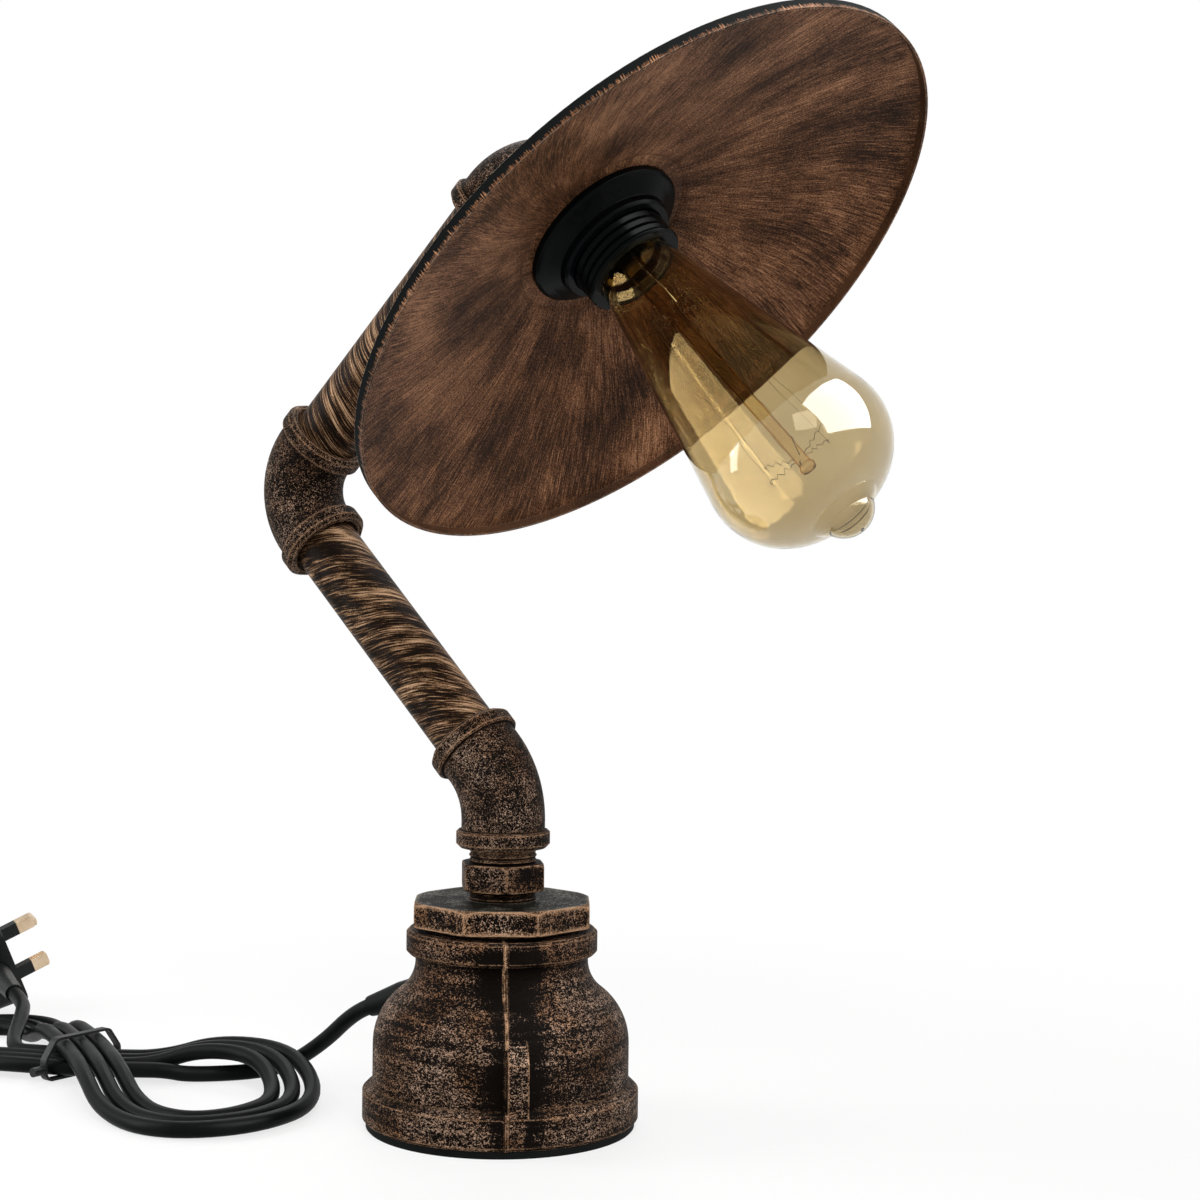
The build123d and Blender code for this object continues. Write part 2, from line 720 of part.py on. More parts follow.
glass_start = cap_back + glass_seat
nose_end = glass_start + glass_length
dome_end = nose_end - glass_nose_height
dome_middle = (glass_radius - glass_dome_radius, dome_end - glass_dome_radius)
collar_start = sleeve_front + glass_collar_gap
neck_break = thread_end - glass_neck_taper

# Angle of the bulb's straight side, which leaves the collar and meets the dome along its tangent
collar_step = glass_collar_radius - dome_middle[0]
collar_depth = dome_middle[1] - collar_start
bulb_slope = atan2(collar_depth, collar_step) - acos(glass_dome_radius / hypot(collar_step, collar_depth))
nose_angle = radians(glass_nose_angle)


def glass_face(inset):
    """Half section filled from the axis to the glass outline, set inwards by a wall."""
    dome = glass_dome_radius - inset
    mid_angle = (nose_angle - bulb_slope) / 2
    lip = glass_nose_radius - inset
    skirt_neck = cap_skirt_radius - cap_wall - glass_skirt_gap - inset
    nose_root = (dome_middle[0] + dome * cos(nose_angle), dome_middle[1] + dome * sin(nose_angle))
    side_end = (dome_middle[0] + dome * cos(bulb_slope), dome_middle[1] - dome * sin(bulb_slope))
    nose_base = (lip, dome_end + glass_nose_lift - inset)
    nose_tip = (0, nose_end - inset)
    with BuildSketch(Plane(head_frame.origin, x_dir=head_frame.x_dir, z_dir=-head_frame.y_dir)) as face:
        with BuildLine():
            Polyline(
                (0, glass_start + inset), (glass_neck_radius - inset, glass_start + inset),
                (glass_neck_radius - inset, neck_break), (skirt_neck, skirt_start + glass_skirt_lead),
                (skirt_neck, skirt_end), (glass_collar_radius - inset, collar_start), side_end,
            )
            ThreePointArc(
                side_end,
                (dome_middle[0] + dome * cos(mid_angle), dome_middle[1] + dome * sin(mid_angle)),
                nose_root,
            )
            Line(nose_root, nose_base)
            TangentArc(nose_tip, nose_base, tangent=(1, 0))
            Line(nose_tip, (0, glass_start + inset))
        make_face()
    return face.sketch


with BuildPart() as bulb_glass:
    revolve(glass_face(0), axis=head_axis)
    revolve(glass_face(glass_wall), axis=head_axis, mode=Mode.SUBTRACT)
    revolve(half_section(head_frame, [
        (0, glass_start - glass_wall), (glass_neck_radius - glass_wall, glass_start - glass_wall),
        (glass_neck_radius - glass_wall, glass_start + 2 * glass_wall), (0, glass_start + 2 * glass_wall),
    ]), axis=head_axis, mode=Mode.SUBTRACT)
save(bulb_glass, "bulb_glass")

flare_radius = glass_neck_radius - glass_wall - flare_gap
rod_start = glass_start + stem_length
rod_end = dome_end - stem_end_gap
with BuildPart() as bulb_stem:
    revolve(half_section(head_frame, [
        (0, glass_start), (flare_radius, glass_start), (flare_radius, glass_start + flare_length),
        (stem_radius, glass_start + stem_waist), (stem_tip_radius, rod_start - stem_tip),
        (stem_rod_radius, rod_start), (stem_rod_radius, rod_end),
        (stem_rod_radius + bead_proud, rod_end + bead_length / 3),
        (stem_rod_radius + bead_proud / 2, rod_end + bead_length - bead_proud), (0, rod_end + bead_length),
    ]), axis=head_axis)
save(bulb_stem, "bulb_stem")

# Filament cage: spokes at both ends of the rod and wires strung between them
near_height = rod_start + support_inset
far_height = rod_end - support_inset
spoke_turn = 360 / support_count
with BuildPart() as support_wires:
    for height, tip in ((near_height, near_support_radius), (far_height, far_support_radius)):
        for index in range(support_count):
            spoke = turned(head_frame.offset(height), index * spoke_turn)
            root = spoke.from_local_coords(Vector(stem_rod_radius + support_gap, 0, 0))
            with BuildSketch(Plane(root, z_dir=spoke.x_dir)):
                Circle(wire_radius)
            extrude(amount=tip - stem_rod_radius)
save(support_wires, "support_wires")

with BuildPart() as filament:
    for index in range(support_count):
        low = turned(head_frame.offset(near_height), index * spoke_turn)
        high = turned(head_frame.offset(far_height), index * spoke_turn)
        start = low.from_local_coords(Vector(near_support_radius - wire_hook, 0, wire_radius + wire_gap))
        end = high.from_local_coords(Vector(far_support_radius - wire_hook, 0, -wire_radius - wire_gap))
        with BuildSketch(Plane(start, z_dir=end - start)):
            Circle(wire_radius)
        extrude(amount=(end - start).length)
save(filament, "filament")

# Hank of the supply cord
hank_floor = cord_radius + hank_floor_gap
hank_rise = cord_diameter + hank_layer_gap
hank_pitch = cord_diameter + loop_gap
tie_pitch = cord_diameter + tie_strand_gap
lobe_left = [left_near, left_end, left_far]
lobe_right = [right_near, right_end, right_far]
tie_stations = [tie_out, over_in, over_out, tie_in]


def hank_knot(station, loop):
    """Place and direction of one strand at a station; later strands lie to the right of the heading."""
    x, y, heading, layer, middle, share = station
    turn = radians(heading)
    spacing = tie_pitch if station in tie_stations else hank_pitch
    aside = Vector(sin(turn), -cos(turn)) * ((loop + share - middle) * spacing)
    place = Vector(hank_middle[0] + x, hank_middle[1] + y, hank_floor + hank_rise * layer) + aside
    return place, Vector(cos(turn), sin(turn))


def biarc_corners(start, start_way, end, end_way):
    """Corner points of two tangent arcs between two points with given directions."""
    chord = end - start
    both = start_way + end_way
    spread = 2 * (1 - start_way.dot(end_way))
    along = chord.dot(both)
    if spread < 1e-9:
        reach = chord.dot(chord) / (4 * chord.dot(end_way))
    else:
        reach = (sqrt(along**2 + spread * chord.dot(chord)) - along) / spread
    first = start + start_way * reach
    last = end - end_way * reach
    middle = (first + last) * 0.5
    return [(start, first, middle), (middle, last, end)]


def arc_middle(start, corner, end):
    """Middle point of the arc that leaves start and reaches end along their common corner."""
    half = (start + end) * 0.5
    rise = corner - half
    angle = atan2(rise.length, (end - start).length / 2)
    return half + rise * (tan(angle / 2) / tan(angle))


# The cord comes in under the tie from the right, winds round the left and the right lobe in turn and leaves
# under the tie to the left. Its first and last strand stand a little apart from the others.
hank_knots = [hank_knot(tie_in, -2 - end_strand_shift)]
for loop in range(-1, hank_loops - 1):
    for station in [tie_out, *lobe_left, over_in, over_out, *lobe_right, tie_in]:
        hank_knots.append(hank_knot(station, loop))
hank_knots.append(hank_knot(tie_out, hank_loops - 1 + end_strand_shift))
hank_start = hank_knots[0][0] - hank_knots[0][1] * cord_diameter
hank_end = hank_knots[-1][0] + hank_knots[-1][1] * cord_diameter

with BuildPart() as cord_hank:
    with BuildLine() as hank_line:
        Line(hank_start, hank_knots[0][0])
        for (start, start_way), (end, end_way) in pairwise(hank_knots):
            for corners in biarc_corners(start, start_way, end, end_way):
                ThreePointArc(corners[0], arc_middle(*corners), corners[2])
        Line(hank_knots[-1][0], hank_end)
    hank_path = hank_line.wire()
    with BuildSketch(Plane(hank_start, z_dir=hank_knots[0][1])):
        Circle(cord_radius)
    sweep()
save(cord_hank, "cord_hank")
print(f"hank: length {hank_path.length:.0f}, volume over section times length "
      f"{cord_hank.part.volume / (pi * cord_radius**2 * hank_path.length):.5f}")


def least_gap(edges, samples, skip):
    """Least clear distance between strands of the hank, measured on points along it."""
    points = []
    travelled = 0.0
    for edge in edges:
        for index in range(samples):
            points.append((travelled + edge.length * index / samples, edge @ (index / samples)))
        travelled += edge.length
    gaps = [
        (one - other).length
        for index, (here, one) in enumerate(points)
        for there, other in points[index + 1:]
        if there - here > skip
    ]
    return min(gaps) - cord_diameter


print(f"hank: least gap {least_gap(hank_path.edges(), 6, 30):.2f}")

# Tie around the crossing of the hank: wide below, around the under strands, and narrower above
under_turn = radians((tie_in[2] + tie_out[2]) / 2 - 180)
over_turn = radians((over_in[2] + over_out[2]) / 2)
tie_turn = (under_turn + over_turn) / 2
tie_slant = (under_turn - over_turn) / 2
under_half = (hank_loops / 2 + end_strand_shift) * tie_pitch + cord_radius
over_half = (hank_loops - 1) / 2 * tie_pitch + cord_radius
under_wide = under_half / cos(tie_slant) + tie_width / 2 * tan(tie_slant) + tie_gap
over_wide = over_half / cos(tie_slant) + tie_width / 2 * tan(tie_slant) + tie_gap
tie_layers = (tie_out[3] + over_in[3]) / 2
tie_half_height = (over_in[3] - tie_out[3]) * hank_rise / 2 + cord_radius + tie_gap
tie_ahead = Vector(cos(tie_turn), sin(tie_turn))
tie_side = Vector(-sin(tie_turn), cos(tie_turn))
tie_place = Vector(*hank_middle, hank_floor + hank_rise * tie_layers)
tie_frame = Plane(tie_place, x_dir=tie_side, z_dir=tie_ahead)
with BuildPart() as cord_tie:
    with BuildSketch(tie_frame) as opening:
        with BuildLine():
            Polyline(
                (-under_wide, -tie_half_height), (under_wide, -tie_half_height), (under_wide, 0),
                (over_wide, tie_half_height), (-over_wide, tie_half_height), (-under_wide, 0), close=True,
            )
        make_face()
        fillet(opening.vertices(), tie_corner)
        inside = opening.sketch_local
        offset(amount=tie_thickness)
        add(inside, mode=Mode.SUBTRACT)
    extrude(amount=tie_width / 2, both=True)
    knot_height = tie_corner + tie_knot_radius - tie_half_height - tie_thickness
    knot_place = tie_frame.from_local_coords(Vector(-under_wide - tie_thickness / 2, knot_height, 0))
    with BuildSketch(Plane(knot_place, z_dir=-tie_side)):
        Circle(tie_knot_radius)
    extrude(amount=tie_knot_length)
save(cord_tie, "cord_tie")

# Plug, in a frame whose z axis points along the pins
aim = radians(plug_heading)
pitch_up = radians(plug_tilt)
roll = radians(plug_roll)
pin_way = Vector(cos(pitch_up) * cos(aim), cos(pitch_up) * sin(aim), sin(pitch_up))
level_way = Vector(-sin(aim), cos(aim), 0)
row_way = level_way * cos(roll) + pin_way.cross(level_way) * sin(roll)
plug_frame = Plane(plug_origin, x_dir=row_way, z_dir=pin_way)
cable_end = pin_shift - plug_length / 2
earth_end = pin_shift + plug_length / 2
cover_middle = cable_end + fuse_cover_inset + fuse_cover_length / 2
core_width = pin_width - 2 * pin_skin
core_thickness = pin_thickness - 2 * pin_skin
slot_width = core_width + 2 * plug_clearance
slot_thickness = core_thickness + 2 * plug_clearance
relief_start = plug_frame.from_local_coords(Vector(0, cable_end + relief_root, -relief_depth))
relief_frame = Plane(relief_start, x_dir=pin_way, z_dir=-plug_frame.y_dir)
relief_reach = relief_length + relief_root
power_places = [(-pin_pitch / 2, pin_row), (pin_pitch / 2, pin_row)]

with BuildPart() as plug_body:
    with BuildSketch(plug_frame) as face:
        with BuildLine():
            Polyline(
                (-plug_width / 2, cable_end), (plug_width / 2, cable_end), (plug_top_width / 2, earth_end),
                (-plug_top_width / 2, earth_end), close=True,
            )
        make_face()
        fillet(face.vertices(), plug_corner)
    extrude(amount=-plug_depth, taper=plug_taper)
    fillet(plug_body.faces().sort_by(axis_of(plug_frame))[0].edges(), plug_back_edge)
    with BuildSketch(plug_frame):
        with Locations(*power_places):
            Rectangle(slot_width, slot_thickness)
        with Locations((0, earth_row)):
            Rectangle(pin_thickness + 2 * plug_clearance, earth_width + 2 * plug_clearance)
    extrude(amount=-pin_root, mode=Mode.SUBTRACT)
    with BuildSketch(plug_frame):
        with Locations((0, cover_middle)):
            Rectangle(fuse_cover_width + 2 * plug_clearance, fuse_cover_length + 2 * plug_clearance)
    extrude(amount=-fuse_cover_thickness - 2 * fuse_radius - 2 * plug_clearance, mode=Mode.SUBTRACT)
    with BuildSketch(relief_frame):
        Circle(relief_radius + plug_clearance)
    extrude(amount=relief_reach, mode=Mode.SUBTRACT)
save(plug_body, "plug_body")

with BuildPart() as power_pins:
    with BuildSketch(plug_frame.offset(-pin_root)):
        with Locations(*power_places):
            Rectangle(core_width, core_thickness)
    extrude(amount=pin_root + sleeve_on_pin)
    with BuildSketch(plug_frame.offset(sleeve_on_pin)):
        with Locations(*power_places):
            Rectangle(pin_width, pin_thickness)
    extrude(amount=pin_length - sleeve_on_pin)
    chamfer(power_pins.faces().filter_by(plug_frame).group_by(axis_of(plug_frame))[-1].edges(), pin_edge)
save(power_pins, "power_pins")

with BuildPart() as pin_sleeves:
    with BuildSketch(plug_frame):
        with Locations(*power_places):
            Rectangle(pin_width, pin_thickness)
            Rectangle(slot_width, slot_thickness, mode=Mode.SUBTRACT)
    extrude(amount=sleeve_on_pin)
save(pin_sleeves, "pin_sleeves")

with BuildPart() as earth_pin:
    with BuildSketch(plug_frame.offset(-pin_root)):
        with Locations((0, earth_row)):
            Rectangle(pin_thickness, earth_width)
    extrude(amount=pin_root + earth_length)
    chamfer(earth_pin.faces().sort_by(axis_of(plug_frame))[-1].edges(), pin_edge)
save(earth_pin, "earth_pin")

with BuildPart() as fuse_cover:
    with BuildSketch(plug_frame):
        with Locations((0, cover_middle)):
            Rectangle(fuse_cover_width, fuse_cover_length)
    extrude(amount=-fuse_cover_thickness)
save(fuse_cover, "fuse_cover")

fuse_place = plug_frame.from_local_coords(
    Vector(0, cover_middle - fuse_length / 2, -fuse_cover_thickness - fuse_radius - plug_clearance)
)
with BuildPart() as plug_fuse:
    with BuildSketch(Plane(fuse_place, z_dir=plug_frame.y_dir)):
        Circle(fuse_radius)
    extrude(amount=fuse_length)
save(plug_fuse, "plug_fuse")

with BuildPart() as plug_relief:
    revolve(half_section(relief_frame, [
        (0, 0), (relief_radius, 0), (relief_radius, relief_root + relief_length / 8),
        (relief_tip_radius, relief_reach), (0, relief_reach),
    ]), axis=axis_of(relief_frame))
save(plug_relief, "plug_relief")

# Free stretches of the cord: from the base to the hank and from the hank to the plug
lead_start = grommet_frame.from_local_coords(Vector(0, 0, grommet_length))
lead_route = [lead_start, lead_start + grommet_way * cord_exit_run]
lead_route += [Vector(x, y, hank_floor + height) for x, y, height in lead_points]
lead_route += [hank_start - hank_knots[0][1] * cord_end_run, hank_start]
save(cord_along(lead_route, route_radii(lead_route, end_bend_share), cord_radius), "cord_lead")

tail_end = relief_frame.from_local_coords(Vector(0, 0, relief_reach))
tail_route = [hank_end, hank_end + hank_knots[-1][1] * tail_start_run]
tail_route += [Vector(x, y, hank_floor + height) for x, y, height in tail_points]
tail_route += [tail_end + relief_frame.z_dir * cord_end_run, tail_end]
save(cord_along(tail_route, route_radii(tail_route, end_bend_share), cord_radius), "cord_tail")
print("route points", [tuple(round(value, 2) for value in point) for point in lead_route + tail_route])
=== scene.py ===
"""Finished looks of the pipe-fitting table lamp: supply cord, wires, materials, studio and camera."""

import logging
import math
from abc import ABC, abstractmethod
from dataclasses import dataclass, field, replace
from enum import Enum
from itertools import pairwise
from typing import Any, ClassVar, Self

import bmesh
import bpy
from mathutils import Matrix, Vector


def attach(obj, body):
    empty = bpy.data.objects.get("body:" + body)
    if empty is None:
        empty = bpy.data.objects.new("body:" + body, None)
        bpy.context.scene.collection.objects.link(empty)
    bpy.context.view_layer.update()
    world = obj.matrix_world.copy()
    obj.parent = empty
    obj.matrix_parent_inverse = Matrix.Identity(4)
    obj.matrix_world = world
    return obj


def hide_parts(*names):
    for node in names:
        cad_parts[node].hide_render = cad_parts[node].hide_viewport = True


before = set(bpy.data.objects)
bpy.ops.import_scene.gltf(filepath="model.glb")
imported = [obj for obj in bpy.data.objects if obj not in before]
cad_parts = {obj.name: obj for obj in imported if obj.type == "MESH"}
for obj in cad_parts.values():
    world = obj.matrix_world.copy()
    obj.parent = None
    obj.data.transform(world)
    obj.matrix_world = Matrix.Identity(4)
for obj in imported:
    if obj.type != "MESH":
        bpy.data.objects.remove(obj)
LOG = logging.getLogger("lamp")
MM = 0.001
Triple = tuple[float, float, float]
Pair = tuple[float, float]
Colour = tuple[float, float, float, float]
Socket = bpy.types.NodeSocket
WHITE: Colour = (1.0, 1.0, 1.0, 1.0)


class Spot(Enum):
    """Middles of the swivels and the turn about Y that lays local z along each stretch of the lamp."""

    BASE = ((0.0, 0.0, 0.0), 0.0)
    ARM = ((0.0, 0.0, 0.1349), -45.0)
    FOREARM = ((-0.11639, 0.0, 0.25129), 45.0)
    HEAD = ((0.01266, 0.0, 0.38034), 135.0)

    @property
    def origin(self) -> Vector:
        """Origin of the local frame, in metres."""
        return Vector(self.value[0])

    @property
    def turn(self) -> float:
        """Turn about Y in radians."""
        return math.radians(self.value[1])

    @property
    def matrix(self) -> Matrix:
        """Local frame as a matrix."""
        return Matrix.Translation(self.origin) @ Matrix.Rotation(self.turn, 4, "Y")


@dataclass(frozen=True)
class Pattern:
    """Noise drawn out by axis, with its weight in the rubbing."""

    scale: Triple
    weight: float
    detail: float = 2.0
    roughness: float = 0.5

    def finer(self, factor: float) -> Self:
        """The same pattern with its first two axes scaled."""
        x, y, z = self.scale
        return replace(self, scale=(factor * x, factor * y, z))


class Graph:
    """Node tree of one material, with short calls for the nodes that the finishes share."""

    samples: ClassVar[int] = 6
    edge_likeness: ClassVar[Pair] = (0.995, 0.9)
    corner_reach: ClassVar[float] = 0.004
    corner_range: ClassVar[Pair] = (0.72, 0.9)

    def __init__(self, name: str) -> None:
        """Start an empty tree.

        Args:
            name: Name of the material.
        """
        self.material = bpy.data.materials.new(name)
        self.material.use_nodes = True
        self.tree = self.material.node_tree
        self.tree.nodes.clear()

    def add(self, kind: str, sockets: dict[str | int, Any], **settings: Any) -> bpy.types.Node:
        """Add a node.

        Args:
            kind: Node type.
            sockets: Links or constants for its inputs.
            settings: Properties of the node.

        Returns:
            The new node.
        """
        node = self.tree.nodes.new(kind)
        for key, value in settings.items():
            setattr(node, key, value)
        for key, value in sockets.items():
            if isinstance(value, Socket):
                self.tree.links.new(value, node.inputs[key])
            else:
                node.inputs[key].default_value = value
        return node

    def coords(self) -> Socket:
        """Object coordinates, which are the lamp's own frame."""
        return self.add("ShaderNodeTexCoord", {}).outputs["Object"]

    def normal(self) -> Socket:
        """Normal in the lamp's own frame."""
        return self.add("ShaderNodeTexCoord", {}).outputs["Normal"]

    def turned(self, vector: Socket, turn: Triple, origin: Triple = (0.0, 0.0, 0.0)) -> Socket:
        """Vector in axes that are turned by three angles and moved to an origin."""
        sockets = {"Vector": vector, "Location": origin, "Rotation": turn}
        return self.add("ShaderNodeMapping", sockets, vector_type="TEXTURE").outputs[0]

    def placed(self, spot: Spot) -> Socket:
        """Coordinates in the local frame of a spot."""
        return self.turned(self.coords(), (0.0, spot.turn, 0.0), spot.origin)

    def wound(self, vector: Socket, angle: Socket) -> Socket:
        """Vector turned about z by an angle that changes over the surface."""
        sockets = {"Vector": vector, "Angle": angle}
        return self.add("ShaderNodeVectorRotate", sockets, rotation_type="Z_AXIS").outputs[0]

    def stretched(self, vector: Socket, scale: Triple) -> Socket:
        """Coordinates scaled by axis."""
        return self.add("ShaderNodeMapping", {"Vector": vector, "Scale": scale}).outputs[0]

    def split(self, vector: Socket) -> list[Socket]:
        """The three components of a vector."""
        return list(self.add("ShaderNodeSeparateXYZ", {"Vector": vector}).outputs)

    def joined(self, *parts: Socket) -> Socket:
        """Vector of two or three components."""
        return self.add("ShaderNodeCombineXYZ", dict(enumerate(parts))).outputs[0]

    def vector(self, operation: str, *vectors: Socket) -> bpy.types.Node:
        """One operation on vectors, with its outputs Vector and Value."""
        return self.add("ShaderNodeVectorMath", dict(enumerate(vectors)), operation=operation)

    def noise(
        self, vector: Socket, scale: float, detail: float = 2.0, roughness: float = 0.5,
        distortion: float = 0.0,
    ) -> Socket:
        """Noise value.

        Args:
            vector: Coordinates.
            scale: Features in each unit of them.
            detail: Number of finer layers.
            roughness: Weight of the finer layers.
            distortion: Bending of the pattern.

        Returns:
            Value between 0 and 1.
        """
        sockets = {"Vector": vector, "Scale": scale, "Detail": detail, "Roughness": roughness}
        return self.add("ShaderNodeTexNoise", {**sockets, "Distortion": distortion}).outputs[0]

    def drawn(self, vector: Socket, pattern: Pattern) -> Socket:
        """Noise value of a pattern."""
        return self.noise(self.stretched(vector, pattern.scale), 1.0, pattern.detail, pattern.roughness)

    def remap(self, value: Socket, low: float, high: float, start: float = 0.0, end: float = 1.0) -> Socket:
        """Smooth step from start to end while a value goes from low to high."""
        sockets = {0: value, 1: low, 2: high, 3: start, 4: end}
        return self.add("ShaderNodeMapRange", sockets, interpolation_type="SMOOTHSTEP").outputs[0]

    def math(self, operation: str, first: Any, second: Any = 0.5) -> Socket:
        """Result of one sum."""
        return self.add("ShaderNodeMath", {0: first, 1: second}, operation=operation).outputs[0]

    def blend(self, terms: list[tuple[Socket, float]]) -> Socket:
        """Weighted total of several values.

        Args:
            terms: Values with their weights.

        Returns:
            The total.
        """
        total = self.math("MULTIPLY", terms[0][0], terms[0][1])
        for value, weight in terms[1:]:
            sockets = {0: value, 1: weight, 2: total}
            total = self.add("ShaderNodeMath", sockets, operation="MULTIPLY_ADD").outputs[0]
        return total

    def mix(self, factor: Socket, first: Any, second: Any) -> Socket:
        """Colour between two colours."""
        return self.add("ShaderNodeMix", {0: factor, 6: first, 7: second}, data_type="RGBA").outputs[2]

    def bump(self, height: Socket, distance: float, strength: float, normal: Socket | None = None) -> Socket:
        """Normal of a surface raised by a height.

        Args:
            height: Height between 0 and 1.
            distance: Real height in metres.
            strength: Share of it that is used.
            normal: Normal to start from.

        Returns:
            The raised normal.
        """
        sockets = {"Height": height, "Distance": distance, "Strength": strength}
        if normal is not None:
            sockets["Normal"] = normal
        return self.add("ShaderNodeBump", sockets).outputs[0]

    def rounded(self, radius: float) -> Socket:
        """Normal with the sharp edges rounded over."""
        return self.add("ShaderNodeBevel", {"Radius": radius}, samples=self.samples).outputs[0]

    def worn(self, radius: float) -> Socket:
        """Mask of the outer edges, where paint is rubbed off.

        Args:
            radius: Width of the worn edge in metres.

        Returns:
            One on the edges, and zero in corners.
        """
        true_normal = self.add("ShaderNodeNewGeometry", {}).outputs["True Normal"]
        likeness = self.vector("DOT_PRODUCT", self.rounded(radius), true_normal).outputs["Value"]
        edge = self.remap(likeness, *self.edge_likeness)
        return self.math("MULTIPLY", edge, self.remap(self.open_air(self.corner_reach), *self.corner_range))

    def open_air(self, distance: float) -> Socket:
        """How open a surface lies, low in the corners of its own casting."""
        settings = {"only_local": True, "samples": self.samples}
        return self.add("ShaderNodeAmbientOcclusion", {"Distance": distance}, **settings).outputs["AO"]

    def finish(self, **inputs: Any) -> bpy.types.Material:
        """Close the tree with a principled surface.

        Args:
            inputs: Principled inputs, with underscores for spaces.

        Returns:
            The material.
        """
        sockets = {key.replace("_", " "): value for key, value in inputs.items()}
        surface = self.add("ShaderNodeBsdfPrincipled", sockets)
        self.add("ShaderNodeOutputMaterial", {"Surface": surface.outputs[0]})
        return self.material


class Finish(ABC):
    """A surface finish that makes one material."""

    @abstractmethod
    def build(self) -> bpy.types.Material:
        """Make the material."""


@dataclass(frozen=True)
class Seam:
    """Casting seam of the bell: less copper beside its rib, painted shadow over the ledge above the rib, and
    a thin painted highlight along the ledge's edge.

    Lengths are in metres, and the turn about z is in degrees.
    """

    turn: float
    # Copper that the seam's mask takes off: beside the rib, and as painted shadow over the ledge above it.
    depth: float = 0.24
    rib_top: float = 0.0395
    rib_fade: float = 0.004
    rib_side: Pair = (0.0105, 0.0135)
    dark_and_shadow_side: Pair = (0.023, 0.013)
    wave: float = 55.0
    dark_and_shadow_sway: float = 0.016
    # Place, sway and width of the thin painted highlight along the ledge's edge above the rib.
    highlight_place: float = 0.0023
    highlight_sway: float = 0.0014
    highlight_side: Pair = (0.0007, 0.0003)
    gaps: float = 260.0
    gap_range: Pair = (0.33, 0.53)

    def masks(self, g: Graph, coords: Socket) -> tuple[Socket, Socket]:
        """Masks of the darkening beside the rib with the painted shadow above it, and of the painted
        highlight.

        Args:
            g: Node tree.
            coords: Object coordinates.

        Returns:
            One beside the rib and in the painted shadow above it, and one on the painted highlight above the
            rib.
        """
        _, aside, height = g.split(g.turned(coords, (0.0, 0.0, math.radians(self.turn))))
        wave = g.noise(coords, self.wave, detail=3.0)
        away = g.blend([(g.math("ABSOLUTE", aside), 1.0), (wave, self.dark_and_shadow_sway)])
        above = g.remap(height, self.rib_top, self.rib_top + self.rib_fade)
        clear = g.math("MAXIMUM", above, g.remap(away, *self.rib_side))
        # Painted shadow over the ledge above the rib, and less copper in bands beside the rib below it.
        seam_dark_and_shadow = g.math("MULTIPLY", clear, g.remap(away, *self.dark_and_shadow_side))
        # Painted highlight: a thin broken line along the ledge's edge above the rib.
        swayed = g.blend([(aside, 1.0), (wave, self.highlight_sway)])
        off_highlight = g.math("ABSOLUTE", g.math("ADD", swayed, self.highlight_place))
        broken = g.remap(g.noise(coords, self.gaps, detail=3.0), *self.gap_range)
        seam_highlight = g.math("MULTIPLY", g.math("MULTIPLY", above, broken), g.remap(off_highlight, *self.highlight_side))
        return seam_dark_and_shadow, seam_highlight


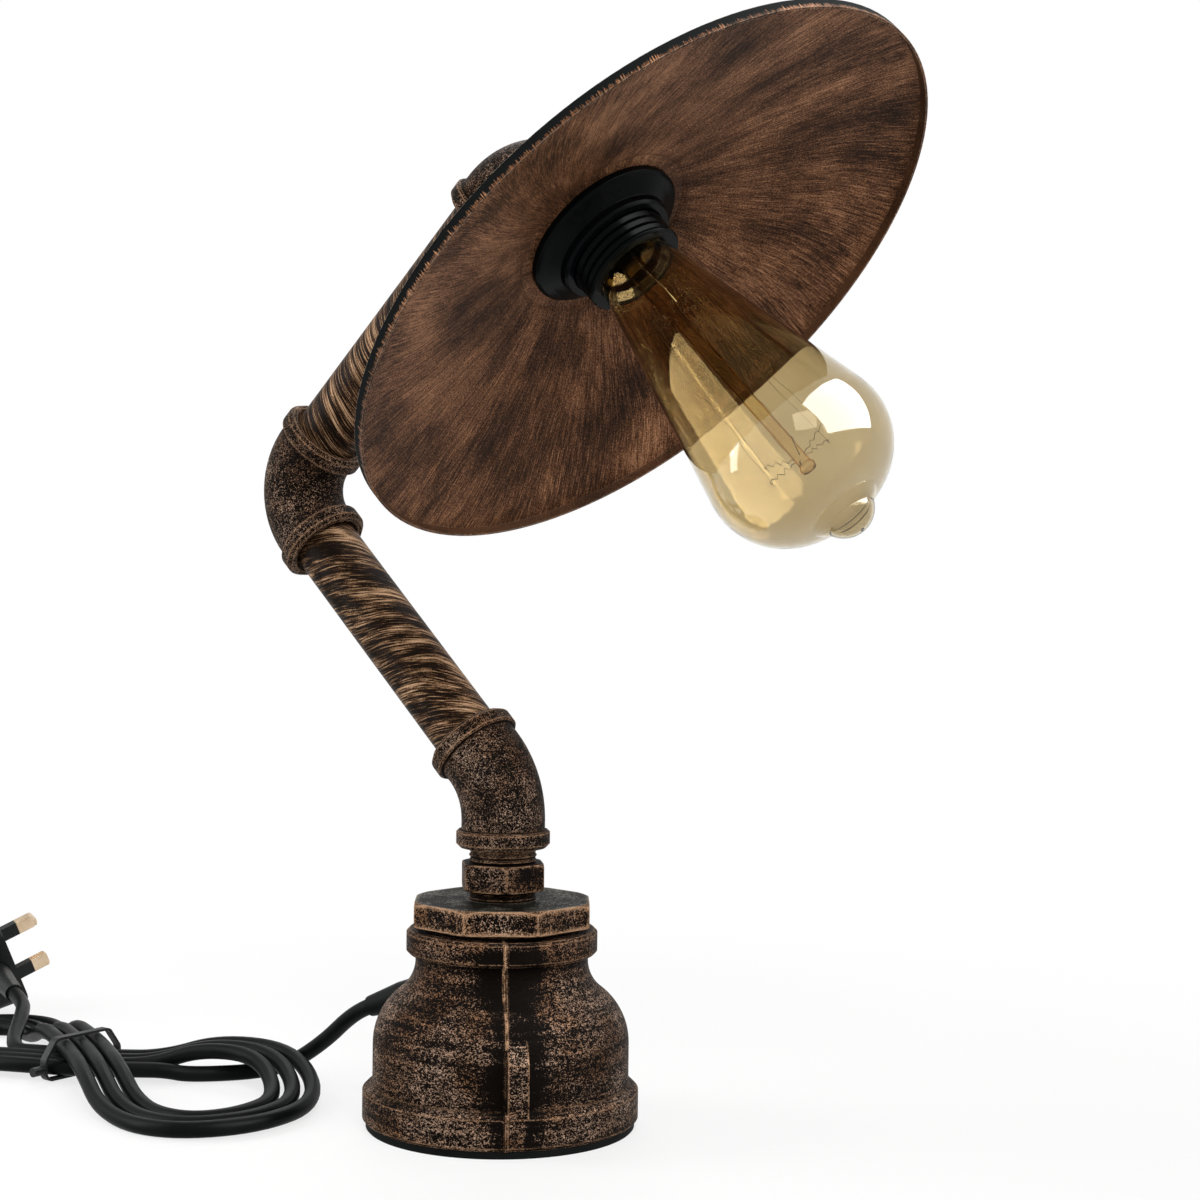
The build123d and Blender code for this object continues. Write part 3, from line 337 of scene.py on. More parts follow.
@dataclass(frozen=True)
class CastBronze(Finish):
    """Rough cast fitting painted black and rubbed with copper."""

    name: str
    grain: float = 880.0
    squash: float = 1.0
    bend: float = 0.9
    fineness: float = 2.2
    ridge_width: float = 0.15
    grain_weight: float = 0.5
    brush: Triple = (120.0, 120.0, 120.0)
    brush_range: Pair = (0.32, 0.68)
    streaks: float = 0.22
    patches: float = 46.0
    patch_weight: float = 0.22
    # Painted shade in the corners: reach and range of the enclosure test, and how much copper it takes off.
    corner_reach: float = 0.009
    corner_range: Pair = (0.45, 0.92)
    corner_shade_loss: float = 0.3
    wear: float = 0.0012
    wear_weight: float = 0.3
    breadth: float = 2.6
    rub: float = 0.1
    rub_tint: float = 2.5
    gaps: float = 330.0
    gap_range: Pair = (0.38, 0.6)
    fine_gap: Pair = (0.36, 0.54)
    # Breaks in the seam's painted highlight.
    highlight_gap: Pair = (0.38, 0.52)
    line_range: Pair = (0.3, 0.75)
    # Painted shade and sheen on faces that point up: they lose this much copper, and their copper turns
    # olive grey.
    top_shade: float = 0.0
    top_sheen_range: Pair = (0.9, 0.99)
    seam: Seam | None = None
    cover: float = 0.0
    rubbed_range: Pair = (0.83, 1.0)
    pale_weights: Triple = (0.6, 0.6, -0.25)
    pale_range: Pair = (0.5, 0.76)
    ground: Colour = (0.0030, 0.0019, 0.0012, 1.0)
    copper: Colour = (0.170, 0.082, 0.037, 1.0)
    bright: Colour = (0.400, 0.275, 0.200, 1.0)
    ridge_line: Colour = (0.520, 0.310, 0.180, 1.0)
    # Olive grey of the painted sheen on faces that point up.
    top_sheen: Colour = (0.170, 0.165, 0.135, 1.0)
    metal: float = 0.12
    roughness: Pair = (0.5, 0.42)
    shine: float = 0.02
    relief: float = 0.0004
    relief_share: float = 0.75
    relief_weights: Pair = (0.6, 0.4)
    bevel: float = 0.0006

    def build(self) -> bpy.types.Material:
        """Copper lies on the winding high grains, on the outer edges and in brushed patches.

        Returns:
            The material.
        """
        g = Graph(self.name)
        coords = g.coords()
        flat = g.stretched(coords, (1.0, 1.0, self.squash))
        worm = g.noise(flat, self.grain, detail=1.5, distortion=self.bend)
        fine = g.noise(flat, self.fineness * self.grain, roughness=0.6)
        streak = g.noise(g.stretched(coords, self.brush), 1.0, detail=3.0, roughness=0.6)
        patch = g.noise(coords, self.patches)
        edge = g.worn(self.wear)
        broad = g.worn(self.breadth * self.wear)
        # Painted shade: less copper in the corners of the casting, where the surface is enclosed.
        corner_shade = g.remap(g.open_air(self.corner_reach), *self.corner_range, -self.corner_shade_loss, 0.0)
        ridge = g.remap(g.math("ABSOLUTE", g.math("SUBTRACT", worm, 0.5)), 0.0, self.ridge_width)
        terms = [(ridge, self.grain_weight), (fine, self.grain_weight)]
        terms += [(g.remap(streak, *self.brush_range), self.streaks), (patch, self.patch_weight)]
        terms += [(edge, self.wear_weight), (broad, self.rub), (corner_shade, 1.0)]
        gaps = g.remap(g.noise(coords, self.gaps, detail=3.0), *self.gap_range)
        broken = g.math("MULTIPLY", gaps, g.remap(fine, *self.fine_gap))
        line = g.math("MULTIPLY", g.remap(edge, *self.line_range), broken)
        if self.seam is not None:
            # The seam takes copper off beside its rib and as painted shadow above it, and draws its painted
            # highlight as a bright line.
            seam_dark_and_shadow, seam_highlight = self.seam.masks(g, coords)
            terms.append((seam_dark_and_shadow, -self.seam.depth))
            line = g.math("MAXIMUM", line, g.math("MULTIPLY", seam_highlight, g.remap(fine, *self.highlight_gap)))
        pale = g.blend(list(zip((patch, fine, edge), self.pale_weights)))
        tone = g.mix(g.remap(pale, *self.pale_range), self.copper, self.bright)
        warm = g.math("MULTIPLY", broad, min(1.0, self.rub_tint * self.rub))
        tone = g.mix(warm, tone, self.ridge_line)
        # Painted shade and sheen: faces that point up lose copper, and their copper turns olive grey.
        if self.top_shade:
            top_sheen_mask = g.remap(g.split(g.normal())[2], *self.top_sheen_range)
            terms.append((top_sheen_mask, -self.top_shade))
            tone = g.mix(top_sheen_mask, tone, self.top_sheen)
        low, high = self.rubbed_range
        rubbed = g.remap(g.blend(terms), low - self.cover, high - self.cover)
        height = g.blend(list(zip((ridge, fine), self.relief_weights)))
        return g.finish(
            Base_Color=g.mix(line, g.mix(rubbed, self.ground, tone), self.ridge_line),
            Metallic=g.math("MULTIPLY", rubbed, self.metal),
            Roughness=g.remap(rubbed, 0.0, 1.0, *self.roughness),
            Specular_IOR_Level=self.shine,
            Normal=g.bump(height, self.relief, self.relief_share, g.rounded(self.bevel)),
        )


@dataclass(frozen=True)
class BrushedPipe(Finish):
    """Smooth pipe painted black, with copper strokes that wind around it."""

    name: str
    spot: Spot
    twist: float = 125.0
    plain_twist: float = 125.0
    sway_scale: float = 26.0
    sway: float = 1.3
    stroke: Pattern = Pattern((820.0, 820.0, 140.0), 0.74, roughness=0.58)
    hair: Pattern = Pattern((1900.0, 1900.0, 300.0), 0.62, roughness=0.6)
    patch: Pattern = Pattern((85.0, 85.0, 62.0), 0.62)
    grain: float = 1900.0
    grain_weight: float = 0.24
    rubbed_range: Pair = (1.07, 1.27)
    tone_range: Pair = (1.14, 1.38)
    ground: Colour = (0.0055, 0.0030, 0.0016, 1.0)
    copper: Colour = (0.150, 0.074, 0.034, 1.0)
    bright: Colour = (0.430, 0.280, 0.165, 1.0)
    metal: float = 0.2
    roughness: Pair = (0.42, 0.46)
    shine: float = 0.03
    relief: float = 0.00012
    relief_share: float = 0.6
    bevel: float = 0.0005

    def build(self) -> bpy.types.Material:
        """The strokes are noise drawn out along a line that turns with the distance along the pipe.

        Returns:
            The material.
        """
        g = Graph(self.name)
        local = g.placed(self.spot)
        along = g.split(local)[2]
        sway = g.noise(local, self.sway_scale, detail=1.0)
        wound = g.wound(local, g.blend([(along, self.twist), (sway, self.sway)]))
        fine = math.sqrt(self.plain_twist / self.twist)
        stroke = g.drawn(wound, self.stroke.finer(fine))
        hair = g.drawn(wound, self.hair.finer(fine))
        patch = g.drawn(wound, self.patch)
        terms = [(stroke, self.stroke.weight), (hair, self.hair.weight), (patch, self.patch.weight)]
        total = g.blend([*terms, (g.noise(local, self.grain), self.grain_weight)])
        rubbed = g.remap(total, *self.rubbed_range)
        tone = g.mix(g.remap(total, *self.tone_range), self.copper, self.bright)
        height = g.blend([(stroke, 0.5), (hair, 0.5)])
        return g.finish(
            Base_Color=g.mix(rubbed, self.ground, tone),
            Metallic=g.math("MULTIPLY", rubbed, self.metal),
            Roughness=g.remap(rubbed, 0.0, 1.0, *self.roughness),
            Specular_IOR_Level=self.shine,
            Normal=g.bump(height, self.relief, self.relief_share, g.rounded(self.bevel)),
        )


@dataclass(frozen=True)
class BrushedShade(Finish):
    """Shade painted black and rubbed outwards with copper, black around its lip."""

    name: str
    sweep: float = 2.0
    sway_scale: float = 11.0
    sway: float = 0.2
    stroke: Pattern = Pattern((190.0, 190.0, 60.0), 0.4, 3.0, 0.72)
    hair: Pattern = Pattern((520.0, 520.0, 150.0), 0.48, roughness=0.6)
    fan: Pattern = Pattern((5.0, 5.0, 24.0), 0.26, 3.0, 0.6)
    patches: float = 26.0
    patch_weight: float = 0.3
    grain: float = 1700.0
    grain_weight: float = 0.42
    rubbed_range: Pair = (0.83, 1.03)
    tone_range: Pair = (0.96, 1.12)
    front: float = 0.0793
    fringe: float = 0.0009
    fray: float = 0.009
    fray_edge: float = 0.0003
    wall_range: Pair = (0.6, 0.85)
    lip_range: Pair = (0.4, 0.6)
    lip_roughness: float = 0.85
    wear: float = 0.0004
    gaps: float = 900.0
    gap_range: Pair = (0.35, 0.6)
    ground: Colour = (0.0150, 0.0072, 0.0036, 1.0)
    copper: Colour = (0.165, 0.070, 0.032, 1.0)
    bright: Colour = (0.400, 0.205, 0.108, 1.0)
    lip_dark: Colour = (0.040, 0.019, 0.010, 1.0)
    lip_pale: Colour = (0.115, 0.054, 0.027, 1.0)
    black: Colour = (0.004, 0.005, 0.005, 1.0)
    # Pale colour of the outer edges: partly worn paint, partly painted highlight.
    edge: Colour = (0.30, 0.25, 0.20, 1.0)
    metal: float = 0.2
    roughness: Pair = (0.52, 0.48)
    shine: float = 0.04
    relief: float = 0.0001
    relief_share: float = 0.6
    bevel: float = 0.0004

    def build(self) -> bpy.types.Material:
        """The strokes are noise drawn out along the shade's radius, in a ring of directions.

        Returns:
            The material.
        """
        g = Graph(self.name)
        local = g.placed(Spot.HEAD)
        across, aside, along = g.split(local)
        flat = g.joined(across, aside)
        radius = g.vector("LENGTH", flat).outputs["Value"]
        sway = g.noise(local, self.sway_scale, detail=1.0)
        swept = g.wound(flat, g.blend([(radius, self.sweep), (sway, self.sway)]))
        spoke_x, spoke_y, _ = g.split(g.vector("NORMALIZE", swept).outputs["Vector"])
        spokes = g.joined(spoke_x, spoke_y, radius)
        stroke = g.drawn(spokes, self.stroke)
        hair = g.drawn(spokes, self.hair)
        fan = g.drawn(spokes, self.fan)
        patch = g.noise(local, self.patches, detail=3.0)
        grain = g.noise(local, self.grain)
        terms = [(stroke, self.stroke.weight), (hair, self.hair.weight), (fan, self.fan.weight)]
        total = g.blend([*terms, (patch, self.patch_weight), (grain, self.grain_weight)])
        rubbed = g.remap(total, *self.rubbed_range)
        tone = g.mix(g.remap(total, *self.tone_range), self.copper, self.bright)
        strokes = g.blend([(stroke, 0.5), (hair, 0.5)])
        bare, inner = self.lip(g, flat, along, strokes)
        clouds = g.blend([(patch, 0.5), (grain, 0.5)])
        smooth = g.mix(g.remap(clouds, *self.lip_range), self.lip_dark, self.lip_pale)
        painted = g.mix(inner, g.mix(rubbed, self.ground, tone), smooth)
        # Pale line on the outer edges: partly worn paint, partly painted highlight.
        gaps = g.remap(g.noise(local, self.gaps), *self.gap_range)
        worn = g.math("MULTIPLY", g.worn(self.wear), gaps)
        rough = g.remap(rubbed, 0.0, 1.0, *self.roughness)
        return g.finish(
            Base_Color=g.mix(worn, g.mix(bare, painted, self.black), self.edge),
            Metallic=g.math("MULTIPLY", rubbed, self.metal),
            Roughness=g.math("MAXIMUM", rough, g.math("MULTIPLY", bare, self.lip_roughness)),
            Specular_IOR_Level=self.shine,
            Normal=g.bump(strokes, self.relief, self.relief_share, g.rounded(self.bevel)),
        )

    def lip(self, g: Graph, flat: Socket, along: Socket, strokes: Socket) -> tuple[Socket, Socket]:
        """Masks of the lip's outer wall, frayed where the strokes reach over it, and of its inner wall.

        Args:
            g: Node tree.
            flat: Place across the shade's axis.
            along: Distance along the axis.
            strokes: Stroke pattern that frays the band.

        Returns:
            One on the black outer wall, and one on the inner wall.
        """
        outward = g.vector("NORMALIZE", flat).outputs["Vector"]
        turned = g.turned(g.normal(), (0.0, Spot.HEAD.turn, 0.0))
        facing = g.vector("DOT_PRODUCT", turned, outward).outputs["Value"]
        reach = g.blend([(strokes, self.fray), (along, 1.0)])
        middle = self.front - self.fringe + self.fray / 2
        frayed = g.remap(reach, middle + self.fray_edge, middle - self.fray_edge)
        low, high = self.wall_range
        bare = g.math("MULTIPLY", g.remap(facing, low, high), frayed)
        return bare, g.remap(facing, -low, -high)


@dataclass(frozen=True)
class Satin(Finish):
    """Moulded or rubbery surface with a fine grain and slightly uneven shine."""

    name: str
    colour: Colour
    shade: Colour
    roughness: Pair = (0.35, 0.5)
    grain: float = 1400.0
    depth: float = 0.00006
    edge: float = 0.0005
    shine: float = 0.2
    clouds: float = 60.0
    cloud_range: Pair = (0.3, 0.7)
    relief_share: float = 0.5

    def build(self) -> bpy.types.Material:
        """Two close tones, with grain in the normal.

        Returns:
            The material.
        """
        g = Graph(self.name)
        coords = g.coords()
        grain = g.noise(coords, self.grain, detail=3.0)
        cloud = g.noise(coords, self.clouds, detail=3.0)
        return g.finish(
            Base_Color=g.mix(g.remap(cloud, *self.cloud_range), self.colour, self.shade),
            Roughness=g.remap(cloud, *self.cloud_range, *self.roughness),
            Specular_IOR_Level=self.shine,
            Normal=g.bump(grain, self.depth, self.relief_share, g.rounded(self.edge)),
        )


@dataclass(frozen=True)
class Metal(Finish):
    """Bare metal with fine turning marks and a little tarnish."""

    name: str
    colour: Colour
    tarnish: Colour
    spot: Spot = Spot.HEAD
    roughness: Pair = (0.18, 0.34)
    marks: Triple = (240.0, 240.0, 2600.0)
    clouds: float = 140.0
    tarnish_range: Pair = (0.35, 0.75)
    rough_range: Pair = (0.3, 0.7)
    relief: float = 0.00002
    relief_share: float = 0.5
    bevel: float = 0.0003

    def build(self) -> bpy.types.Material:
        """Marks are drawn out across the local axis.

        Returns:
            The material.
        """
        g = Graph(self.name)
        local = g.placed(self.spot)
        marks = g.noise(g.stretched(local, self.marks), 1.0, detail=3.0)
        cloud = g.noise(local, self.clouds, detail=3.0)
        return g.finish(
            Base_Color=g.mix(g.remap(cloud, *self.tarnish_range), self.colour, self.tarnish),
            Metallic=1.0,
            Roughness=g.remap(cloud, *self.rough_range, *self.roughness),
            Normal=g.bump(marks, self.relief, self.relief_share, g.rounded(self.bevel)),
        )


@dataclass(frozen=True)
class Glass(Finish):
    """Clear tinted glass with slight waviness."""

    name: str
    colour: Colour
    shade: Colour
    wave: float = 45.0
    depth: float = 0.00006
    bending: float = 1.46
    tube: bool = False
    wave_range: Pair = (0.3, 0.7)
    tube_range: Pair = (0.25, 0.65)
    relief_share: float = 0.35

    def build(self) -> bpy.types.Material:
        """Tint varies a little and the blown surface is not quite even; a tube is darker at its edges.

        Returns:
            The material.
        """
        g = Graph(self.name)
        wave = g.noise(g.coords(), self.wave, detail=1.0)
        if self.tube:
            edge = g.add("ShaderNodeLayerWeight", {"Blend": 0.5}).outputs["Facing"]
            change = g.remap(edge, *self.tube_range)
        else:
            change = g.remap(wave, *self.wave_range)
        return g.finish(
            Base_Color=g.mix(change, self.colour, self.shade),
            Roughness=0.0,
            IOR=self.bending,
            Transmission_Weight=1.0,
            Normal=g.bump(wave, self.depth, self.relief_share),
        )


class Palette:
    """Every finish of the lamp by name, made once."""

    def __init__(self) -> None:
        """Make the materials."""
        black = (0.0030, 0.0036, 0.0035, 1.0)
        grey = (0.0060, 0.0068, 0.0066, 1.0)
        gloss = (0.0020, 0.0030, 0.0034, 1.0)
        gold = (0.80, 0.56, 0.26, 1.0)
        brown = (0.46, 0.29, 0.12, 1.0)
        finishes: dict[str, Finish] = {
            "bell": CastBronze(
                "bell_bronze", squash=1.4, brush=(22.0, 22.0, 330.0), seam=Seam(-47.0), cover=0.02,
            ),
            "bush": CastBronze("bush_bronze", top_shade=0.04, wear=0.0016, rub=0.3),
            "elbow": CastBronze("elbow_bronze", grain=1350.0, streaks=0.12, cover=0.02, rub=0.18),
            "nipple": CastBronze("nipple_bronze", grain=1100.0, cover=-0.03),
            "lower_pipe": BrushedPipe("lower_pipe_bronze", Spot.ARM),
            "upper_pipe": BrushedPipe("upper_pipe_bronze", Spot.FOREARM, twist=230.0),
            "shade": BrushedShade("shade_copper"),
            "holder": Satin("holder_black", gloss, black, (0.16, 0.28), 900.0, 0.00003, shine=0.03),
            "rubber": Satin("pad_rubber", black, grey, (0.6, 0.75), 1100.0, 0.0001, shine=0.04),
            "cord": Satin("cord_black", black, grey, (0.34, 0.46), 1500.0, 0.00005, shine=0.04),
            "plug": Satin("plug_black", black, grey, (0.32, 0.45), 1300.0, 0.00006, 0.0008),
            "tie": Satin("tie_black", black, grey, (0.4, 0.55), 1900.0, 0.00005, 0.0002),
            "steel": Metal("plate_steel", (0.42, 0.41, 0.4, 1.0), (0.25, 0.24, 0.23, 1.0), Spot.BASE),
            "ceramic": Satin("holder_ceramic", (0.75, 0.72, 0.66, 1.0), (0.66, 0.62, 0.55, 1.0), (0.2, 0.4)),
            "fuse": Satin("fuse_white", (0.7, 0.69, 0.66, 1.0), (0.6, 0.59, 0.56, 1.0), (0.2, 0.4)),
            "brass": Metal("contact_brass", gold, brown),
            "pins": Metal(
                "pin_brass", (0.66, 0.51, 0.35, 1.0), (0.46, 0.34, 0.22, 1.0), Spot.BASE, (0.16, 0.28),
                (900.0, 900.0, 900.0),
            ),
            "cap": Metal("bulb_brass", (0.34, 0.26, 0.13, 1.0), (0.16, 0.12, 0.06, 1.0)),
            "vitrite": Satin("bulb_insulator", (0.01, 0.01, 0.012, 1.0), grey, (0.08, 0.15)),
            "glass": Glass("bulb_glass", (0.67, 0.585, 0.41, 1.0), (0.62, 0.53, 0.35, 1.0)),
            "stem": Glass(
                "stem_glass", (0.92, 0.82, 0.62, 1.0), (0.46, 0.23, 0.05, 1.0), 220.0, 0.0001, 1.08,
                tube=True,
            ),
            "wire": Metal(
                "lamp_wire", (0.10, 0.07, 0.04, 1.0), (0.05, 0.035, 0.022, 1.0), roughness=(0.35, 0.5),
            ),
            "lead_wire": Metal(
                "lead_wire", (0.62, 0.58, 0.5, 1.0), (0.45, 0.4, 0.33, 1.0), roughness=(0.2, 0.35),
            ),
        }
        self.materials = {key: finish.build() for key, finish in finishes.items()}

    def dress(self, key: str, *nodes: str) -> None:
        """Give CAD nodes a material.

        Args:
            key: Name of the finish.
            nodes: CAD nodes that take it.
        """
        for node in nodes:
            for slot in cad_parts[node].material_slots:
                slot.link = "OBJECT"
                slot.material = self.materials[key]
            LOG.info("dressed %s with %s", node, key)


@dataclass
class Viewpoint:
    """Camera at the photo's place."""

    place: Triple = (0.53153, -0.71027, 0.22483)
    right: Triple = (0.82488, 0.56520, 0.01101)
    up: Triple = (-0.01995, 0.00965, 0.99975)
    back: Triple = (0.56495, -0.82490, 0.01924)
    lens: float = 67.54
    sensor: float = 36.0
    nearest: float = 0.01

    def build(self) -> bpy.types.Object:
        """Make the camera and the scene's active view.

        Returns:
            The camera.
        """
        data = bpy.data.cameras.new("photo_view")
        data.lens = self.lens
        data.sensor_width = self.sensor
        data.clip_start = self.nearest
        camera = bpy.data.objects.new("photo_view", data)
        turn = Matrix((self.right, self.up, self.back)).transposed().to_4x4()
        camera.matrix_world = Matrix.Translation(self.place) @ turn
        bpy.context.collection.objects.link(camera)
        bpy.context.scene.camera = camera
        return camera


@dataclass(frozen=True)
class Station:
    """Place on the hank where its strands lie side by side, in millimetres from the hank's middle."""

    x: float
    y: float
    heading: float
    layer: float
    middle: float = 0.0
    share: float = 0.0
    pitch: float = 8.2


TIE_OUT = Station(-16.4, -7.3, 200.0, 0.35, 0.5, pitch=7.5)
TIE_IN = Station(17.3, 10.0, 214.0, 0.35, 0.5, 1.0, 7.5)
LOOP = (
    TIE_OUT,
    Station(-77.0, -18.0, 180.0, 0.0),
    Station(-107.0, 12.0, 90.0, 0.0),
    Station(-68.0, 38.0, -23.0, 0.15),
    Station(-22.5, 13.0, -28.0, 1.37, pitch=7.5),
    Station(22.0, -13.8, -34.0, 1.37, pitch=7.5),
    Station(87.0, -45.0, -10.0, 0.0, 0.0, 0.05),
    Station(120.0, -12.0, 100.0, 0.15, 0.5, 0.5),
    Station(59.0, 33.0, 188.0, 1.45, 1.0, 0.95),
    TIE_IN,
)


@dataclass
class Hank:
    """Figure of eight that the cord is wound in, its strands crossing at the tie, in millimetres."""

    diameter: float = 6.6
    middle: Pair = (-193.0, -42.0)
    loops: int = 3
    floor: float = 3.45
    rise: float = 7.4
    end_shift: float = 0.15
    straight: float = 1e-9

    def knot(self, station: Station, loop: float) -> tuple[Vector, Vector]:
        """Place and direction of one strand at a station.

        Args:
            station: The place on the loop.
            loop: Number of the strand, counted from the middle one.

        Returns:
            The point and the direction.
        """
        turn = math.radians(station.heading)
        way = Vector((math.cos(turn), math.sin(turn), 0.0))
        aside = (loop + station.share - station.middle) * station.pitch
        x = self.middle[0] + station.x + way.y * aside
        y = self.middle[1] + station.y - way.x * aside
        return Vector((x, y, self.floor + self.rise * station.layer)), way

    def knots(self) -> list[tuple[Vector, Vector]]:
        """All knots in the cord's order, from the lamp to the plug.

        Returns:
            Point and direction of each knot.
        """
        last = self.loops - 1
        knots = [self.knot(TIE_IN, -2 - self.end_shift)]
        knots += [self.knot(station, loop) for loop in range(-1, last) for station in LOOP]
        return knots + [self.knot(TIE_OUT, last + self.end_shift)]

    def corners(self, start: tuple[Vector, Vector], end: tuple[Vector, Vector]) -> list[Vector]:
        """The two corners between neighbouring knots, equally far from each along its direction.

        Args:
            start: Point and direction of the first knot.
            end: Point and direction of the second.

        Returns:
            Both corners.
        """
        chord = end[0] - start[0]
        spread = 2 * (1 - start[1].dot(end[1]))
        along = chord.dot(start[1] + end[1])
        if spread < self.straight:
            reach = chord.dot(chord) / (4 * chord.dot(end[1]))
        else:
            reach = (math.sqrt(along**2 + spread * chord.dot(chord)) - along) / spread
        return [start[0] + start[1] * reach, end[0] - end[1] * reach]

    def route(self) -> list[Vector]:
        """Control points of the hank, with a straight of one diameter at each end.

        Returns:
            Points in millimetres.
        """
        knots = self.knots()
        points = [knots[0][0] - knots[0][1] * self.diameter]
        for start, end in pairwise(knots):
            points += self.corners(start, end)
        return points + [knots[-1][0] + knots[-1][1] * self.diameter]


class Part:
    """Part of the lamp, with the CAD nodes that take each finish."""

    looks: ClassVar[dict[str, tuple[str, ...]]] = {}

    def dress(self, palette: Palette) -> None:
        """Give every node of the part its finish.

        Args:
            palette: Finishes.
        """
        for key, nodes in self.looks.items():
            palette.dress(key, *nodes)


@dataclass
class SupplyCord(Part):
    """Supply cord from the base to the plug, in millimetres."""

    hank: Hank = field(default_factory=Hank)
    length: float = 1980.0
    lead: tuple[Triple, ...] = (
        (-66.75, 0.0, 38.82), (-75.21, 0.0, 35.74), (-98.0, 5.0, 18.0), (-121.0, 4.0, 4.0),
        (-146.0, -24.0, 3.45), (-153.36, -31.86, 6.04),
    )
    tail: tuple[Triple, ...] = (
        (-234.87, -45.4, 6.04), (-268.0, -8.0, 13.5), (-281.47, 2.89, 13.82), (-292.31, 7.41, 16.29),
    )
    plug_nodes: tuple[str, ...] = (
        "plug_body", "plug_relief", "power_pins", "pin_sleeves", "earth_pin", "fuse_cover", "plug_fuse",
        "cord_tie",
    )
    order: int = 3
    steps: int = 8
    roundness: int = 6
    looks: ClassVar[dict[str, tuple[str, ...]]] = {
        "tie": ("cord_tie",),
        "plug": ("plug_body", "fuse_cover", "pin_sleeves", "plug_relief"),
        "pins": ("power_pins", "earth_pin"),
        "fuse": ("plug_fuse",),
    }

    def build(self, palette: Palette) -> bpy.types.Object:
        """Make the cord as one open curve.

        Args:
            palette: Finishes.

        Returns:
            The curve object.
        """
        points = [*map(Vector, self.lead), *self.hank.route(), *map(Vector, self.tail)]
        curve = bpy.data.curves.new("supply_cord", "CURVE")
        curve.dimensions = "3D"
        spline = curve.splines.new("NURBS")
        spline.points.add(len(points) - 1)
        for control, place in zip(spline.points, points):
            control.co = (*(place * MM), 1.0)
        spline.order_u = self.order
        spline.use_endpoint_u = True
        curve.resolution_u = self.steps
        curve.bevel_depth = self.hank.diameter / 2 * MM
        curve.bevel_resolution = self.roundness
        curve.use_fill_caps = True
        curve.materials.append(palette.materials["cord"])
        cord = bpy.data.objects.new("supply_cord", curve)
        bpy.context.collection.objects.link(cord)
        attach(cord, "base")
        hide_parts("cord_lead", "cord_hank", "cord_tail")
        LOG.info("built supply_cord with %d control points", len(points))
        return cord


class Base(Part):
    """Cast base with its bush, nipple and cord entry."""

    looks = {
        "rubber": ("base_pad",),
        "steel": ("base_plate",),
        "bell": ("base_reducer",),
        "bush": ("reducing_bush",),
        "nipple": ("hex_nipple",),
        "cord": ("cord_grommet", "cord_stop", "flex_base"),
    }


class PipeArm(Part):
    """Both pipes of the arm with their elbows."""

    looks = {
        "elbow": ("lower_elbow", "middle_elbow", "top_elbow"),
        "lower_pipe": ("lower_pipe",),
        "upper_pipe": ("upper_pipe",),
        "cord": ("flex_arm", "flex_forearm", "flex_head"),
    }


class Head(Part):
    """Shade, its clamping ring and the lampholder."""

    looks = {
        "shade": ("shade",),
        "holder": ("holder_cap", "holder_sleeve", "shade_ring"),
        "ceramic": ("holder_insert",),
        "brass": ("terminal_screws", "screw_shell", "centre_contact"),
    }


